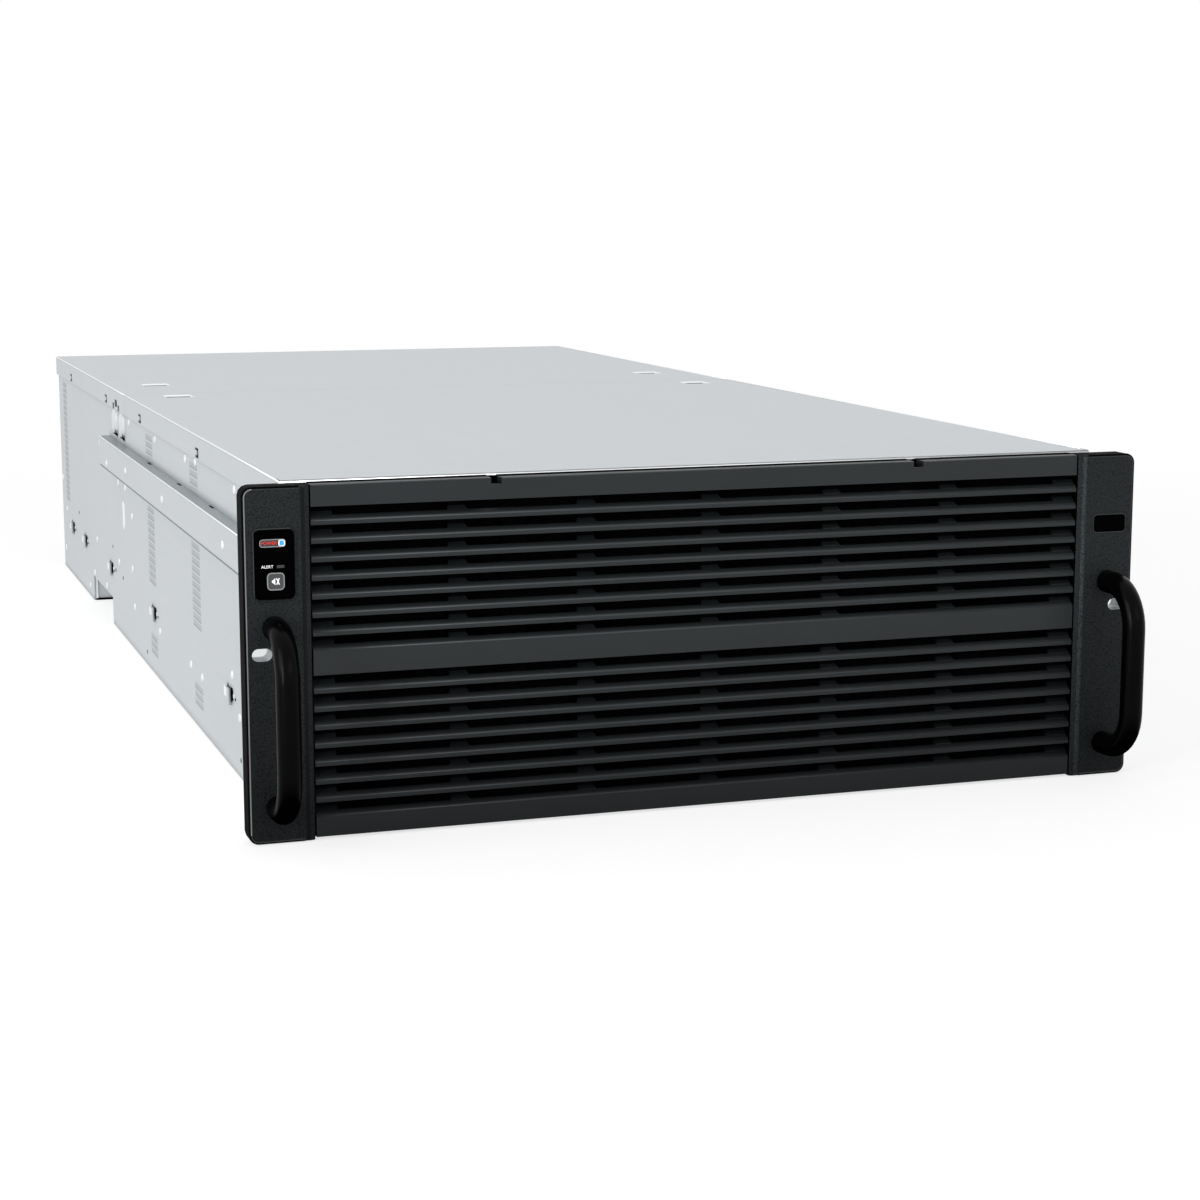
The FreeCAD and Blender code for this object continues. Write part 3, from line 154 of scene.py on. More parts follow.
def loft(work, outlines, closed=True, loop=False, ends=()):
    """A skin over outlines of matching points. closed joins each outline's last point to its first,
    loop joins the last outline to the first, and ends numbers the outlines to be filled."""
    rings = [[work.verts.new(point) for point in outline] for outline in outlines]
    for a, b in zip(rings, rings[1:] + rings[:1] if loop else rings[1:]):
        for i in range(len(a) if closed else len(a) - 1):
            j = (i + 1) % len(a)
            work.faces.new((a[i], a[j], b[j], b[i]))
    for end in ends:
        work.faces.new(rings[end])
    return rings


def add_lathe(work, centre, axis, profile, sides=20):
    """Turns a profile of (radius, height) pairs about an axis; a radius of 0 closes it."""
    turn = Vector((0, 0, 1)).rotation_difference(Vector(axis)).to_matrix().to_4x4()
    place = Matrix.Translation(Vector(centre)) @ turn
    rings = [[work.verts.new(place @ Vector((radius * math.cos(a), radius * math.sin(a), height)))
              for a in (turns(sides) if radius else [0.0])] for radius, height in profile]
    for low, high in zip(rings, rings[1:]):
        for i in range(sides):
            j = (i + 1) % sides
            if len(low) == 1:
                work.faces.new((low[0], high[j], high[i]))
            elif len(high) == 1:
                work.faces.new((low[i], low[j], high[0]))
            else:
                work.faces.new((low[i], low[j], high[j], high[i]))


def rounded_outline(x, z, width, height, radius, steps=6):
    """Corner points of a rounded rectangle in the XZ plane, as (x, z) pairs."""
    points = []
    for cx, cz, start in ((1, 1, 0), (-1, 1, 90), (-1, -1, 180), (1, -1, 270)):
        for i in range(steps + 1):
            angle = math.radians(start + 90 * i / steps)
            points.append((x + cx * (width / 2 - radius) + radius * math.cos(angle),
                           z + cz * (height / 2 - radius) + radius * math.sin(angle)))
    return points


def add_stepped_plate(work, layers, hole=None):
    """A plate on an ear's face from rounded outlines, each given with its Y; the last one is filled."""
    rim = loft(work, [[(px, y, pz) for px, pz in outline] for outline, y in layers])[-1]
    edges = [work.edges.get(pair) for pair in zip(rim, rim[1:] + rim[:1])]
    if hole:
        inner = [work.verts.new((px, layers[-1][1], pz)) for px, pz in hole]
        edges += [work.edges.new(pair) for pair in zip(inner, inner[1:] + inner[:1])]
    bmesh.ops.triangle_fill(work, edges=edges, use_beauty=True)


# Materials

def zinc_plated_sheet(name, dark, light):
    """Cold-rolled steel sheet with passivated zinc plating: satin, cool and pale, with faint
    rolling streaks along the sheet, a soft mottle, and painted shade in the creases where sheets meet."""
    material, tree, shader, place = new_material(name)
    streak_mm, streak_long_mm, mottle_mm, grain_mm, crease_mm = 2.5, 90.0, 35.0, 0.5, 6.0
    stretched = add_node(tree, "ShaderNodeMapping", {
        "Vector": place, "Scale": (per_metre(streak_mm), per_metre(streak_long_mm), per_metre(streak_mm))})
    streaks = add_node(tree, "ShaderNodeTexNoise", {"Vector": stretched, "Scale": 1.0, "Detail": 3.0})
    mottle = add_node(tree, "ShaderNodeTexNoise", {
        "Vector": place, "Scale": per_metre(mottle_mm), "Detail": 2.0})
    grain = add_node(tree, "ShaderNodeTexNoise", {
        "Vector": place, "Scale": per_metre(grain_mm), "Detail": 2.0})
    blend = add_node(tree, "ShaderNodeMath", {0: streaks, 1: mottle, 2: 0.0}, operation="MULTIPLY_ADD")
    colour = add_node(tree, "ShaderNodeValToRGB", {"Fac": blend}, stops=((0.1, dark), (0.5, light)))
    # painted shade: ambient occlusion darkens the colour in creases and close to other parts
    crease = add_node(tree, "ShaderNodeAmbientOcclusion", {"Distance": crease_mm * MM}, samples=6)
    shade = add_node(tree, "ShaderNodeMapRange", {
        "Value": crease.outputs["AO"], "From Min": 0.25, "From Max": 0.95, "To Min": 0.4, "To Max": 1.0})
    crease_shaded_colour = add_node(tree, "ShaderNodeVectorMath", {0: colour, "Scale": shade}, operation="SCALE")
    rough = add_node(tree, "ShaderNodeMapRange", {"Value": mottle, "To Min": 0.44, "To Max": 0.52})
    edge = add_node(tree, "ShaderNodeBevel", {"Radius": 0.8 * MM}, samples=4)
    bump = add_node(tree, "ShaderNodeBump", {
        "Height": grain, "Strength": 0.05, "Distance": 0.04 * MM, "Normal": edge})
    feed(tree, shader, {"Base Color": crease_shaded_colour, "Roughness": rough, "Normal": bump, "Metallic": 0.6})
    return material


def textured_powder_paint(name, dark, light):
    """Black polyester powder paint baked with a fine leather texture, as on rack ears: soft and dull,
    with painted shade, and a sheen dimmed alike, where a face turns from the front and low on the ear."""
    material, tree, shader, place = new_material(name)
    grain_mm, cloud_mm = 0.7, 22.0
    grain = add_node(tree, "ShaderNodeTexVoronoi", {"Vector": place, "Scale": per_metre(grain_mm)},
                     feature="SMOOTH_F1")
    fine = add_node(tree, "ShaderNodeTexNoise", {
        "Vector": place, "Scale": per_metre(grain_mm), "Detail": 3.0})
    height = add_node(tree, "ShaderNodeMath", {0: grain, 1: fine}, operation="ADD")
    cloud = add_node(tree, "ShaderNodeTexNoise", {
        "Vector": place, "Scale": per_metre(cloud_mm), "Detail": 2.0})
    colour = add_node(tree, "ShaderNodeValToRGB", {"Fac": height}, stops=((0.62, dark), (1.0, light)))
    rough = add_node(tree, "ShaderNodeMapRange", {"Value": cloud, "To Min": 0.5, "To Max": 0.62})
    edge = add_node(tree, "ShaderNodeBevel", {"Radius": 1.2 * MM}, samples=4)
    bump = add_node(tree, "ShaderNodeBump", {
        "Height": height, "Strength": 0.6, "Distance": 0.16 * MM, "Normal": edge})
    geometry = add_node(tree, "ShaderNodeNewGeometry")
    facing = add_node(tree, "ShaderNodeSeparateXYZ", {"Vector": geometry.outputs["Normal"]})
    # painted shade: darker away from the front and towards the bottom, and the sheen with it
    front = add_node(tree, "ShaderNodeMapRange", {
        "Value": facing.outputs["Y"], "From Min": -0.25, "From Max": -0.75, "To Min": 0.06, "To Max": 1.0})
    level = add_node(tree, "ShaderNodeSeparateXYZ", {"Vector": place})
    low_shade = add_node(tree, "ShaderNodeMapRange", {
        "Value": level.outputs["Z"], "From Max": 0.11, "To Min": 0.5})
    shade = add_node(tree, "ShaderNodeMath", {0: front, 1: low_shade}, operation="MULTIPLY")
    shaded = add_node(tree, "ShaderNodeVectorMath", {0: colour, "Scale": shade}, operation="SCALE")
    sheen = add_node(tree, "ShaderNodeMath", {0: shade, 1: 0.15}, operation="MULTIPLY")
    feed(tree, shader, {"Base Color": shaded, "Specular IOR Level": sheen, "Roughness": rough,
                        "Normal": bump, "IOR": 1.5})
    return material


def gloss_baked_paint():
    """Smooth black stoving enamel on the bent handle bars: near black, with a faint orange-peel; its
    reflection is turned down on faces that look down, as painted shade."""
    material, tree, shader, place = new_material("black_stoved_gloss_enamel")
    peel_mm, wear_mm = 3.0, 18.0
    peel = add_node(tree, "ShaderNodeTexNoise", {"Vector": place, "Scale": per_metre(peel_mm), "Detail": 1.0})
    wear = add_node(tree, "ShaderNodeTexNoise", {"Vector": place, "Scale": per_metre(wear_mm), "Detail": 5.0})
    rough = add_node(tree, "ShaderNodeMapRange", {"Value": wear, "To Min": 0.2, "To Max": 0.3})
    bump = add_node(tree, "ShaderNodeBump", {"Height": peel, "Strength": 0.15, "Distance": 0.05 * MM})
    geometry = add_node(tree, "ShaderNodeNewGeometry")
    facing = add_node(tree, "ShaderNodeSeparateXYZ", {"Vector": geometry.outputs["Normal"]})
    # painted shade: the reflection fades on faces that turn downwards
    sheen = add_node(tree, "ShaderNodeMapRange", {
        "Value": facing.outputs["Z"], "From Min": -0.35, "From Max": 0.1, "To Min": 0.0, "To Max": 0.06})
    feed(tree, shader, {"Base Color": linear("#020202"), "Roughness": rough, "Normal": bump,
                        "Specular IOR Level": sheen, "IOR": 1.5})
    return material


def moulded_bezel_plastic(name, dark, light):
    """Charcoal ABS, injection moulded with a fine spark-eroded grain: satin ridges, with painted shade low
    down that dims the sheen too.
    """
    material, tree, shader, place = new_material(name)
    grain_mm, flow_mm = 0.6, 60.0
    grain = add_node(tree, "ShaderNodeTexNoise", {
        "Vector": place, "Scale": per_metre(grain_mm), "Detail": 3.0})
    flow = add_node(tree, "ShaderNodeTexNoise", {"Vector": place, "Scale": per_metre(flow_mm), "Detail": 2.0})
    colour = add_node(tree, "ShaderNodeValToRGB", {"Fac": flow}, stops=((0.3, dark), (0.7, light)))
    edge = add_node(tree, "ShaderNodeBevel", {"Radius": 0.5 * MM}, samples=4)
    bump = add_node(tree, "ShaderNodeBump", {
        "Height": grain, "Strength": 0.2, "Distance": 0.05 * MM, "Normal": edge})
    # painted shade: darker and duller towards the bottom
    level = add_node(tree, "ShaderNodeSeparateXYZ", {"Vector": place})
    low_shade = add_node(tree, "ShaderNodeMapRange", {
        "Value": level.outputs["Z"], "From Max": 0.09, "To Min": 0.5})
    shaded = add_node(tree, "ShaderNodeVectorMath", {0: colour, "Scale": low_shade}, operation="SCALE")
    sheen = add_node(tree, "ShaderNodeMath", {0: low_shade, 1: 0.33}, operation="MULTIPLY")
    feed(tree, shader, {"Base Color": shaded, "Specular IOR Level": sheen, "Normal": bump,
                        "Roughness": 0.42, "IOR": 1.53})
    return material


def moulded_black_plastic():
    """Black glass-filled nylon of fans, latches and carriers: matt with a dry mottle."""
    material, tree, shader, place = new_material("black_moulded_nylon")
    mottle_mm = 4.0
    mottle = add_node(tree, "ShaderNodeTexNoise", {
        "Vector": place, "Scale": per_metre(mottle_mm), "Detail": 4.0})
    colour = add_node(tree, "ShaderNodeValToRGB", {"Fac": mottle},
                      stops=((0.35, "#161718"), (0.7, "#1F2122")))
    edge = add_node(tree, "ShaderNodeBevel", {"Radius": 0.4 * MM}, samples=4)
    bump = add_node(tree, "ShaderNodeBump", {
        "Height": mottle, "Strength": 0.2, "Distance": 0.05 * MM, "Normal": edge})
    feed(tree, shader, {"Base Color": colour, "Normal": bump, "Roughness": 0.55})
    return material


def polished_window():
    """Back-painted black acrylic window, polished, with the faintest haze of dust."""
    material, tree, shader, place = new_material("black_polished_acrylic")
    haze_mm = 6.0
    haze = add_node(tree, "ShaderNodeTexNoise", {"Vector": place, "Scale": per_metre(haze_mm), "Detail": 4.0})
    rough = add_node(tree, "ShaderNodeMapRange", {"Value": haze, "To Min": 0.08, "To Max": 0.16})
    feed(tree, shader, {"Base Color": linear("#010101"), "Roughness": rough, "IOR": 1.49,
                        "Specular IOR Level": 0.012})
    return material


def painted_shade_black(name):
    """Dead matt black on hidden sheet and inside cut-outs: painted shade, so that openings read as dark."""
    material, tree, shader, place = new_material(name)
    speck_mm = 1.2
    speck = add_node(tree, "ShaderNodeTexNoise", {
        "Vector": place, "Scale": per_metre(speck_mm), "Detail": 2.0})
    rough = add_node(tree, "ShaderNodeMapRange", {"Value": speck, "To Min": 0.8, "To Max": 0.95})
    feed(tree, shader, {"Base Color": linear("#030303"), "Roughness": rough,
                        "Specular IOR Level": 0.04})
    return material


def satin_skin(name, colour_hex, glow=0.0):
    """A satin skin with a fine grain, for small parts that read as one shade: the moulded key and its ring,
    printed marks, painted highlights on rivets, bulges and paint edges, painted shade on slit leaves
    and ledges. Lit marks glow, and the glow of rivets, rings and corner glints is painted light."""
    material, tree, shader, place = new_material(name)
    grain_mm = 0.5
    grain = add_node(tree, "ShaderNodeTexNoise", {
        "Vector": place, "Scale": per_metre(grain_mm), "Detail": 2.0})
    bump = add_node(tree, "ShaderNodeBump", {"Height": grain, "Strength": 0.1, "Distance": 0.03 * MM})
    feed(tree, shader, {"Normal": bump, "Base Color": linear(colour_hex), "Roughness": 0.4,
                        "Emission Color": linear(colour_hex), "Emission Strength": glow})
    return material


def lamp_lens(name, colour_hex, strength):
    """Clear tinted lens over a lamp, glowing softly from within."""
    material, tree, shader, place = new_material(name)
    ripple_mm = 1.5
    ripple = add_node(tree, "ShaderNodeTexNoise", {
        "Vector": place, "Scale": per_metre(ripple_mm), "Detail": 1.0})
    bump = add_node(tree, "ShaderNodeBump", {"Height": ripple, "Strength": 0.1, "Distance": 0.05 * MM})
    feed(tree, shader, {"Normal": bump, "Base Color": linear(colour_hex), "Roughness": 0.2,
                        "Emission Color": linear(colour_hex), "Emission Strength": strength,
                        "IOR": 1.49})
    return material


def bright_zinc_and_fold_highlight(name, colour_hex, rub_mm, smoothest, roughest):
    """Bright zinc plating, handled on screw heads; a paler copy along folds, edges and pocket walls is
    a painted highlight. Its shine breaks up in small patches."""
    material, tree, shader, place = new_material(name)
    rub = add_node(tree, "ShaderNodeTexNoise", {"Vector": place, "Scale": per_metre(rub_mm), "Detail": 3.0})
    rough = add_node(tree, "ShaderNodeMapRange", {"Value": rub, "To Min": smoothest, "To Max": roughest})
    feed(tree, shader, {"Base Color": linear(colour_hex), "Roughness": rough, "Metallic": 1.0})
    return material


def cast_drive_metal():
    """Drive body: die-cast aluminium, bead-blasted, dull and slightly warm."""
    material, tree, shader, place = new_material("cast_blasted_aluminium")
    blast_mm, stain_mm = 0.8, 25.0
    blast = add_node(tree, "ShaderNodeTexNoise", {
        "Vector": place, "Scale": per_metre(blast_mm), "Detail": 3.0})
    stain = add_node(tree, "ShaderNodeTexNoise", {
        "Vector": place, "Scale": per_metre(stain_mm), "Detail": 3.0})
    colour = add_node(tree, "ShaderNodeValToRGB", {"Fac": stain}, stops=((0.3, "#A9ACAD"), (0.7, "#B8BBBB")))
    edge = add_node(tree, "ShaderNodeBevel", {"Radius": 0.8 * MM}, samples=4)
    bump = add_node(tree, "ShaderNodeBump", {
        "Height": blast, "Strength": 0.2, "Distance": 0.05 * MM, "Normal": edge})
    feed(tree, shader, {"Base Color": colour, "Normal": bump, "Metallic": 1.0, "Roughness": 0.5})
    return material


def solder_mask_board(name, parts_above):
    """Circuit board: green solder mask with faint copper tracks, nickel-plated parts above a height."""
    material, tree, shader, place = new_material(name)
    track_mm = 6.0
    height = add_node(tree, "ShaderNodeSeparateXYZ", {"Vector": place})
    above = add_node(tree, "ShaderNodeMath", {
        0: height.outputs["Z"], 1: parts_above}, operation="GREATER_THAN")
    tracks = add_node(tree, "ShaderNodeTexBrick", {
        "Vector": place, "Scale": per_metre(track_mm), "Color1": linear("#14532F"),
        "Color2": linear("#124A2A"), "Mortar": linear("#1E6B3E"), "Mortar Size": 0.06,
        "Brick Width": 1.6, "Row Height": 0.4})
    colour = add_node(tree, "ShaderNodeMix", {0: above, 6: tracks, 7: linear("#C9CBCC")}, data_type="RGBA")
    feed(tree, shader, {"Base Color": colour.outputs[2], "Metallic": above, "Roughness": 0.3,
                        "IOR": 1.5})
    return material


zinc = zinc_plated_sheet("zinc_plated_rolled_sheet", "#C7CCCF", "#CCD0D3")
# a paler copy of the zinc sheet, painted light, for the ear brackets and the slot sleeves
zinc_lit = zinc_plated_sheet("zinc_plated_sheet_painted_lighter", "#DDE1E3", "#E4E7E9")
# painted shade in hollows, openings and the parts seen through them
cavity = painted_shade_black("black_painted_cavity_shade")
# a paler zinc for the pressed bulges: painted light
scoop_painted_light = satin_skin("zinc_bulge_painted_light", "#E6E9EA")
# near white with a faint glow: painted highlight on rivets, the oval hole's leaf and the hook lips
rivet_painted_glint = satin_skin("plated_rivet_painted_glint", "#F2F4F5", 0.08)
# painted shade on the slide members' upper ledges
ledge_shade_grey = satin_skin("grey_painted_ledge_shade", "#A0A6A9")
# painted shade seen in the ladder slits
slit_shade_grey = satin_skin("grey_painted_slit_shade", "#A9AFB2")
# painted shadow below the slits and the slide members
slit_shadow_dark = satin_skin("grey_painted_slit_shadow", "#767B7E")
# a paler zinc for folds, fold beads and pocket walls: painted highlight
fold_highlight_zinc = bright_zinc_and_fold_highlight("zinc_fold_painted_highlight", "#EFF1F2", 3.0, 0.3, 0.42)
# black painted shade on rolled edges and in gaps, openings and shadowed plates
painted_shade_dark = painted_shade_black("black_painted_edge_shade")
# a thin line of painted highlight along the ears' rolled edges
rim_painted_highlight = satin_skin("paint_edge_painted_highlight", "#1A1D1E")
# painted highlight on the lips of the status window and the badge
lip_painted_highlight = satin_skin("paint_lip_painted_highlight", "#303537")
# a glowing painted glint on the lit corners of the ear and the status window
corner_painted_glint = satin_skin("paint_corner_painted_glint", "#85898B", 0.15)
powder = textured_powder_paint("black_textured_powder_paint", "#060708", "#2B2F31")
powder_shaded = textured_powder_paint("powder_paint_on_shaded_fold", "#020202", "#0E1011")
powder_lit = textured_powder_paint("powder_paint_on_lit_fold", "#15191B", "#474D50")
enamel = gloss_baked_paint()
bezel_abs = moulded_bezel_plastic("charcoal_moulded_abs", "#1A1F21", "#1F2427")
# a darker copy of the charcoal plastic: painted shade on the louvre slopes
bezel_slope_shade = moulded_bezel_plastic("charcoal_abs_painted_slope_shade", "#161A1C", "#1A1E20")
# a paler copy of the charcoal plastic: painted highlight on the ridges
ridge_highlight_abs = moulded_bezel_plastic("charcoal_abs_painted_ridge_highlight", "#33393C", "#3D4346")
nylon = moulded_black_plastic()
window = polished_window()
key_grey = satin_skin("grey_moulded_key", "#4B4E50")
# pale moulded rings, their own colour, with a faint painted glow
key_ring = satin_skin("pale_moulded_ring", "#A9ACAD", 0.1)
mark_pale = satin_skin("pale_lit_mark", "#FFFFFF", 0.5)
mark_red = satin_skin("red_lit_mark", "#E0301F", 0.6)
lamp_blue = lamp_lens("blue_tinted_lens", "#3F9EDB", 0.6)
lamp_off = lamp_lens("smoked_lens", "#3A3C3D", 0.0)
fastener = bright_zinc_and_fold_highlight("bright_zinc_fastener", "#DADDDF", 2.0, 0.25, 0.4)
drive_cast = cast_drive_metal()
board_green = solder_mask_board("green_solder_mask_board", 1.0)
board_parts = solder_mask_board("green_board_with_metal_parts", 0.00715)

FINISH = {
    "zinc_steel": zinc, "black_paint": powder, "gloss_black_paint": enamel, "grey_plastic": bezel_abs,
    "black_plastic": nylon, "panel_plastic": window, "key_plastic": key_grey, "lamp_blue": lamp_off,
    "lamp_amber": lamp_off, "drive_metal": drive_cast, "board_green": board_green, "screw_steel": fastener,
}
# the intake panel and the drive cage in black painted shade, the ear brackets in the zinc painted lighter
NODE_FINISH = {"front_intake_panel": cavity, "drive_cage": cavity, "expander_left_board": board_parts,
               "expander_right_board": board_parts, "left_ear_bracket": zinc_lit,
               "right_ear_bracket": zinc_lit}
for entry in frame["record"]["subparts"]:
    finish = NODE_FINISH.get(entry["node"], FINISH[entry["material_slot"]])
    nodes[entry["node"]].material_slots[0].material = finish


# Handles

HANDLE_BEND, BEND_STEPS, HANDLE_SIDES = 22.0 * MM, 10, 28


def handle(side):
    """A smooth bent bar in place of the many-sided CAD bar."""
    low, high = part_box(side + "_handle")
    radius, x = (high.x - low.x) / 2, (low.x + high.x) / 2
    grip, z0, z1 = low.y + radius, low.z + radius, high.z - radius
    path = [Vector((x, EAR_FACE, z0))]
    for z_end, up, order in ((z0, 1, range(BEND_STEPS + 1)), (z1, -1, range(BEND_STEPS, -1, -1))):
        for i in order:
            turn = math.pi / 2 * i / BEND_STEPS
            path.append(Vector((x, grip + HANDLE_BEND * (1 - math.sin(turn)),
                                z_end + up * HANDLE_BEND * (1 - math.cos(turn)))))
    path.append(Vector((x, EAR_FACE, z1)))
    across = Vector((1, 0, 0))
    rings = []
    for before, point, after in zip(path[:1] + path, path, path[1:] + path[-1:]):
        third = (after - before).normalized().cross(across)
        rings.append([point + across * radius * math.cos(a) + third * radius * math.sin(a)
                      for a in turns(HANDLE_SIDES)])
    piece = mesh_piece(side + "_handle_bar", enamel, lambda work: loft(work, rings, ends=(0, -1)),
                       smooth=True)
    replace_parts(piece, side + "_handle")


for side in SIDES:
    handle(side)


# Status window and badge

def inset_window(name, node, low, high, radius, floor_depth, rim, hole=None):
    """A polished window with a softened rim, in place of the plain CAD plate."""
    x, z, width, height = face_on(low, high)
    soft = 0.35 * MM
    steps = [(0, high.y), (0, low.y + soft), (soft * 0.4, low.y + soft * 0.35), (soft, low.y), (rim, low.y),
             (rim + soft / 2, low.y + floor_depth)]
    layers = [(rounded_outline(x, z, width - 2 * inset, height - 2 * inset, radius - inset), y)
              for inset, y in steps]
    piece = mesh_piece(name, window, lambda work: add_stepped_plate(work, layers, hole))
    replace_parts(piece, node)


lens_low, lens_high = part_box("power_light")
lens_x, lens_z, lens_w, lens_h = face_on(lens_low, lens_high)
key_x, key_z, key_w, _ = face_on(key_low, key_high)
WINDOW_FLOOR = lens_low.y + 0.05 * MM
key_hole = rounded_outline(key_x, key_z, key_w + 0.6 * MM, key_w + 0.6 * MM, 2.4 * MM)
inset_window("status_window", "status_panel", panel_low, panel_high, 2.6 * MM, WINDOW_FLOOR - panel_low.y,
             0.9 * MM, key_hole)
inset_window("badge_window", "badge_plate", badge_low, badge_high, 1.8 * MM, 0.3 * MM, 0.7 * MM)


def add_ring(work, x, z, width, height, radius, band, y_back, y_front):
    """A flat raised ring between two rounded outlines."""
    outer = rounded_outline(x, z, width, height, radius)
    inner = rounded_outline(x, z, width - 2 * band, height - 2 * band, max(radius - band, 0.1 * MM))
    loft(work, [[(px, y, pz) for px, pz in points] for points, y in (
        (outer, y_back), (outer, y_front), (inner, y_front), (inner, y_back))], loop=True)


def lamp_plate(x, width, height, corner, proud):
    """A small rounded plate on the power lens."""
    outline = rounded_outline(x, lens_z, width, height, corner)
    return lambda work: add_stepped_plate(work, [(outline, lens_low.y), (outline, lens_low.y - proud)])


mesh_piece("power_lens_ring", key_ring,
           lambda work: add_ring(work, lens_x, lens_z, lens_w - 0.2 * MM, lens_h - 0.5 * MM, 1.3 * MM,
                                 0.32 * MM, WINDOW_FLOOR, lens_low.y - 0.12 * MM))
mesh_piece("power_lamp_frame", mark_pale,
           lamp_plate(lens_high.x - 1.9 * MM, 3.3 * MM, lens_h - 1.0 * MM, 1.0 * MM, 0.08 * MM))
mesh_piece("power_lamp_cap", lamp_blue,
           lamp_plate(lens_high.x - 2.0 * MM, 2.1 * MM, 2.4 * MM, 0.3 * MM, 0.16 * MM))
mesh_piece("mute_key_ring", key_ring,
           lambda work: add_ring(work, key_x, key_z, key_w - 0.1 * MM, key_w - 0.1 * MM, 2.0 * MM, 0.45 * MM,
                                 key_low.y + 0.1 * MM, key_low.y - 0.06 * MM), "mute_button")


def mute_glyph(work):
    """A loudspeaker with a cross beside it, as printed on mute keys."""
    back, front = key_low.y + 0.05 * MM, key_low.y - 0.06 * MM
    cone = [(-1.9, -0.6), (-1.4, -0.6), (-0.3, -1.7), (-0.3, 1.7), (-1.4, 0.6), (-1.9, 0.6)]
    strokes = [[(0.1, -1.4 * lean), (0.5, -1.7 * lean), (1.9, 1.4 * lean), (1.5, 1.7 * lean)]
               for lean in (-1, 1)]
    for y, points in [(back, cone), (front, cone)] + [(front, stroke) for stroke in strokes]:
        work.faces.new([work.verts.new((key_x + x * MM, y, key_z + z * MM)) for x, z in points])


mesh_piece("mute_key_glyph", mark_pale, mute_glyph, "mute_button")


def word(name, text, size, x, z, y, material):
    """A printed generic word, read from the front."""
    letters = bpy.data.curves.new(name, "FONT")
    letters.body = text
    letters.size = size
    letters.extrude = 0.02 * MM
    letters.align_x = "CENTER"
    letters.align_y = "CENTER"
    letters.materials.append(material)
    piece = bpy.data.objects.new(name, letters)
    piece.location = (x, y, z)
    piece.rotation_euler = Euler((math.pi / 2, 0, 0))
    bpy.context.scene.collection.objects.link(piece)
    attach(piece, "chassis")


word("power_word", "POWER", 2.25 * MM, lens_x - 1.75 * MM, lens_z, lens_low.y - 0.03 * MM, mark_red)
alert_low, alert_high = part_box("alert_light")
word("alert_word", "ALERT", 2.05 * MM, alert_low.x - 4.6 * MM, (alert_low.z + alert_high.z) / 2,
     WINDOW_FLOOR - 0.03 * MM, mark_pale)


# Sheet metal details, placed in millimetres across, behind the ear and above the floor

SKIRT_Z, RAIL_TOP, RAIL_FOOT, RAIL_BACK = 161.7, 139.4, 115.9, 626.0
COVER_FOLD_Z = 176.18
WALL_X, RAIL_X = WALL_FACE / MM, RAIL_FACE / MM
SKIRT_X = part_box("front_cover")[1].x / MM


def ends(node):
    """Where a node starts and ends, in millimetres behind the ears."""
    return [(corner.y - EAR_BACK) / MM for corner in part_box(node)]


RAIL_Y = ends("right_guide_rail")


def at(x, y, z):
    return Vector((x * MM, EAR_BACK + y * MM, z * MM))


def inside(x, y, z):
    """A point or a step in the frame's own millimetres."""
    return Vector((x, y, z)) * MM


def add_block(work, sign, x, y, z):
    """A block given by three pairs of limits, on the right side or mirrored to the left."""
    x0, x1 = sorted((sign * x[0], sign * x[1]))
    add_box(work, at(x0, y[0], z[0]), at(x1, y[1], z[1]))


def blocks(signs, places):
    """Blocks on one or both sides, each from its three pairs of limits."""
    def build(work):
        for sign in signs:
            for x, y, z in places:
                add_block(work, sign, x, y, z)
    return build


def on_wall(low, high):
    """Limits across the shelf that are measured out from a side wall's face."""
    return WALL_X + low, WALL_X + high


WALL_RIVETS = [
    (523.4, 157.8), (406.3, 157.3), (287.7, 157.0), (251.5, 159.0), (127.2, 157.2), (682.8, 128.8),
    (932.3, 75.6), (909.8, 51.7), (926.3, 17.0), (716.1, 51.5), (594.5, 51.6), (526.3, 56.5),
    (521.3, 93.5), (737.5, 23.0), (767.0, 8.7), (587.2, 109.6), (551.7, 109.7), (521.0, 30.8),
    (406.9, 33.1), (285.7, 33.6), (246.1, 33.2), (147.2, 53.3), (126.8, 33.5), (667.8, 23.4),
]
RAIL_RIVETS = [(493.1, 128.1), (589.2, 123.1), (334.2, 127.7), (124.9, 128.2)]
WALL_DIMPLES = [(828.0, 58.4), (778.0, 42.8), (627.8, 58.2), (615.0, 42.8), (577.6, 42.5), (468.0, 9.0),
                (127.0, 10.0)]
RIVET = [(2.6 * MM, 0.0), (2.45 * MM, 0.35 * MM), (1.9 * MM, 0.6 * MM), (1.0 * MM, 0.72 * MM), (0, 0.75 * MM)]
DIMPLE = [(1.4 * MM, 0.12 * MM), (0.6 * MM, 0.1 * MM), (0, 0.06 * MM)]


def dots(places, sign, face_x, profile, sides=16):
    """Small turned heads or hollows on a side face, at pairs of depth and height."""
    def build(work):
        for y, z in places:
            add_lathe(work, at(sign * face_x, y, z), (sign, 0, 0), profile, sides=sides)
    return build


LADDERS = [(260.0, 27.0), (434.0, 27.0), (900.0, 22.0)]
SLIT_Z0, SLIT_PITCH, SLITS = 60.8, 4.7, 21
LOW_SLIT_Z0, LOW_SLITS = 13.6, 3


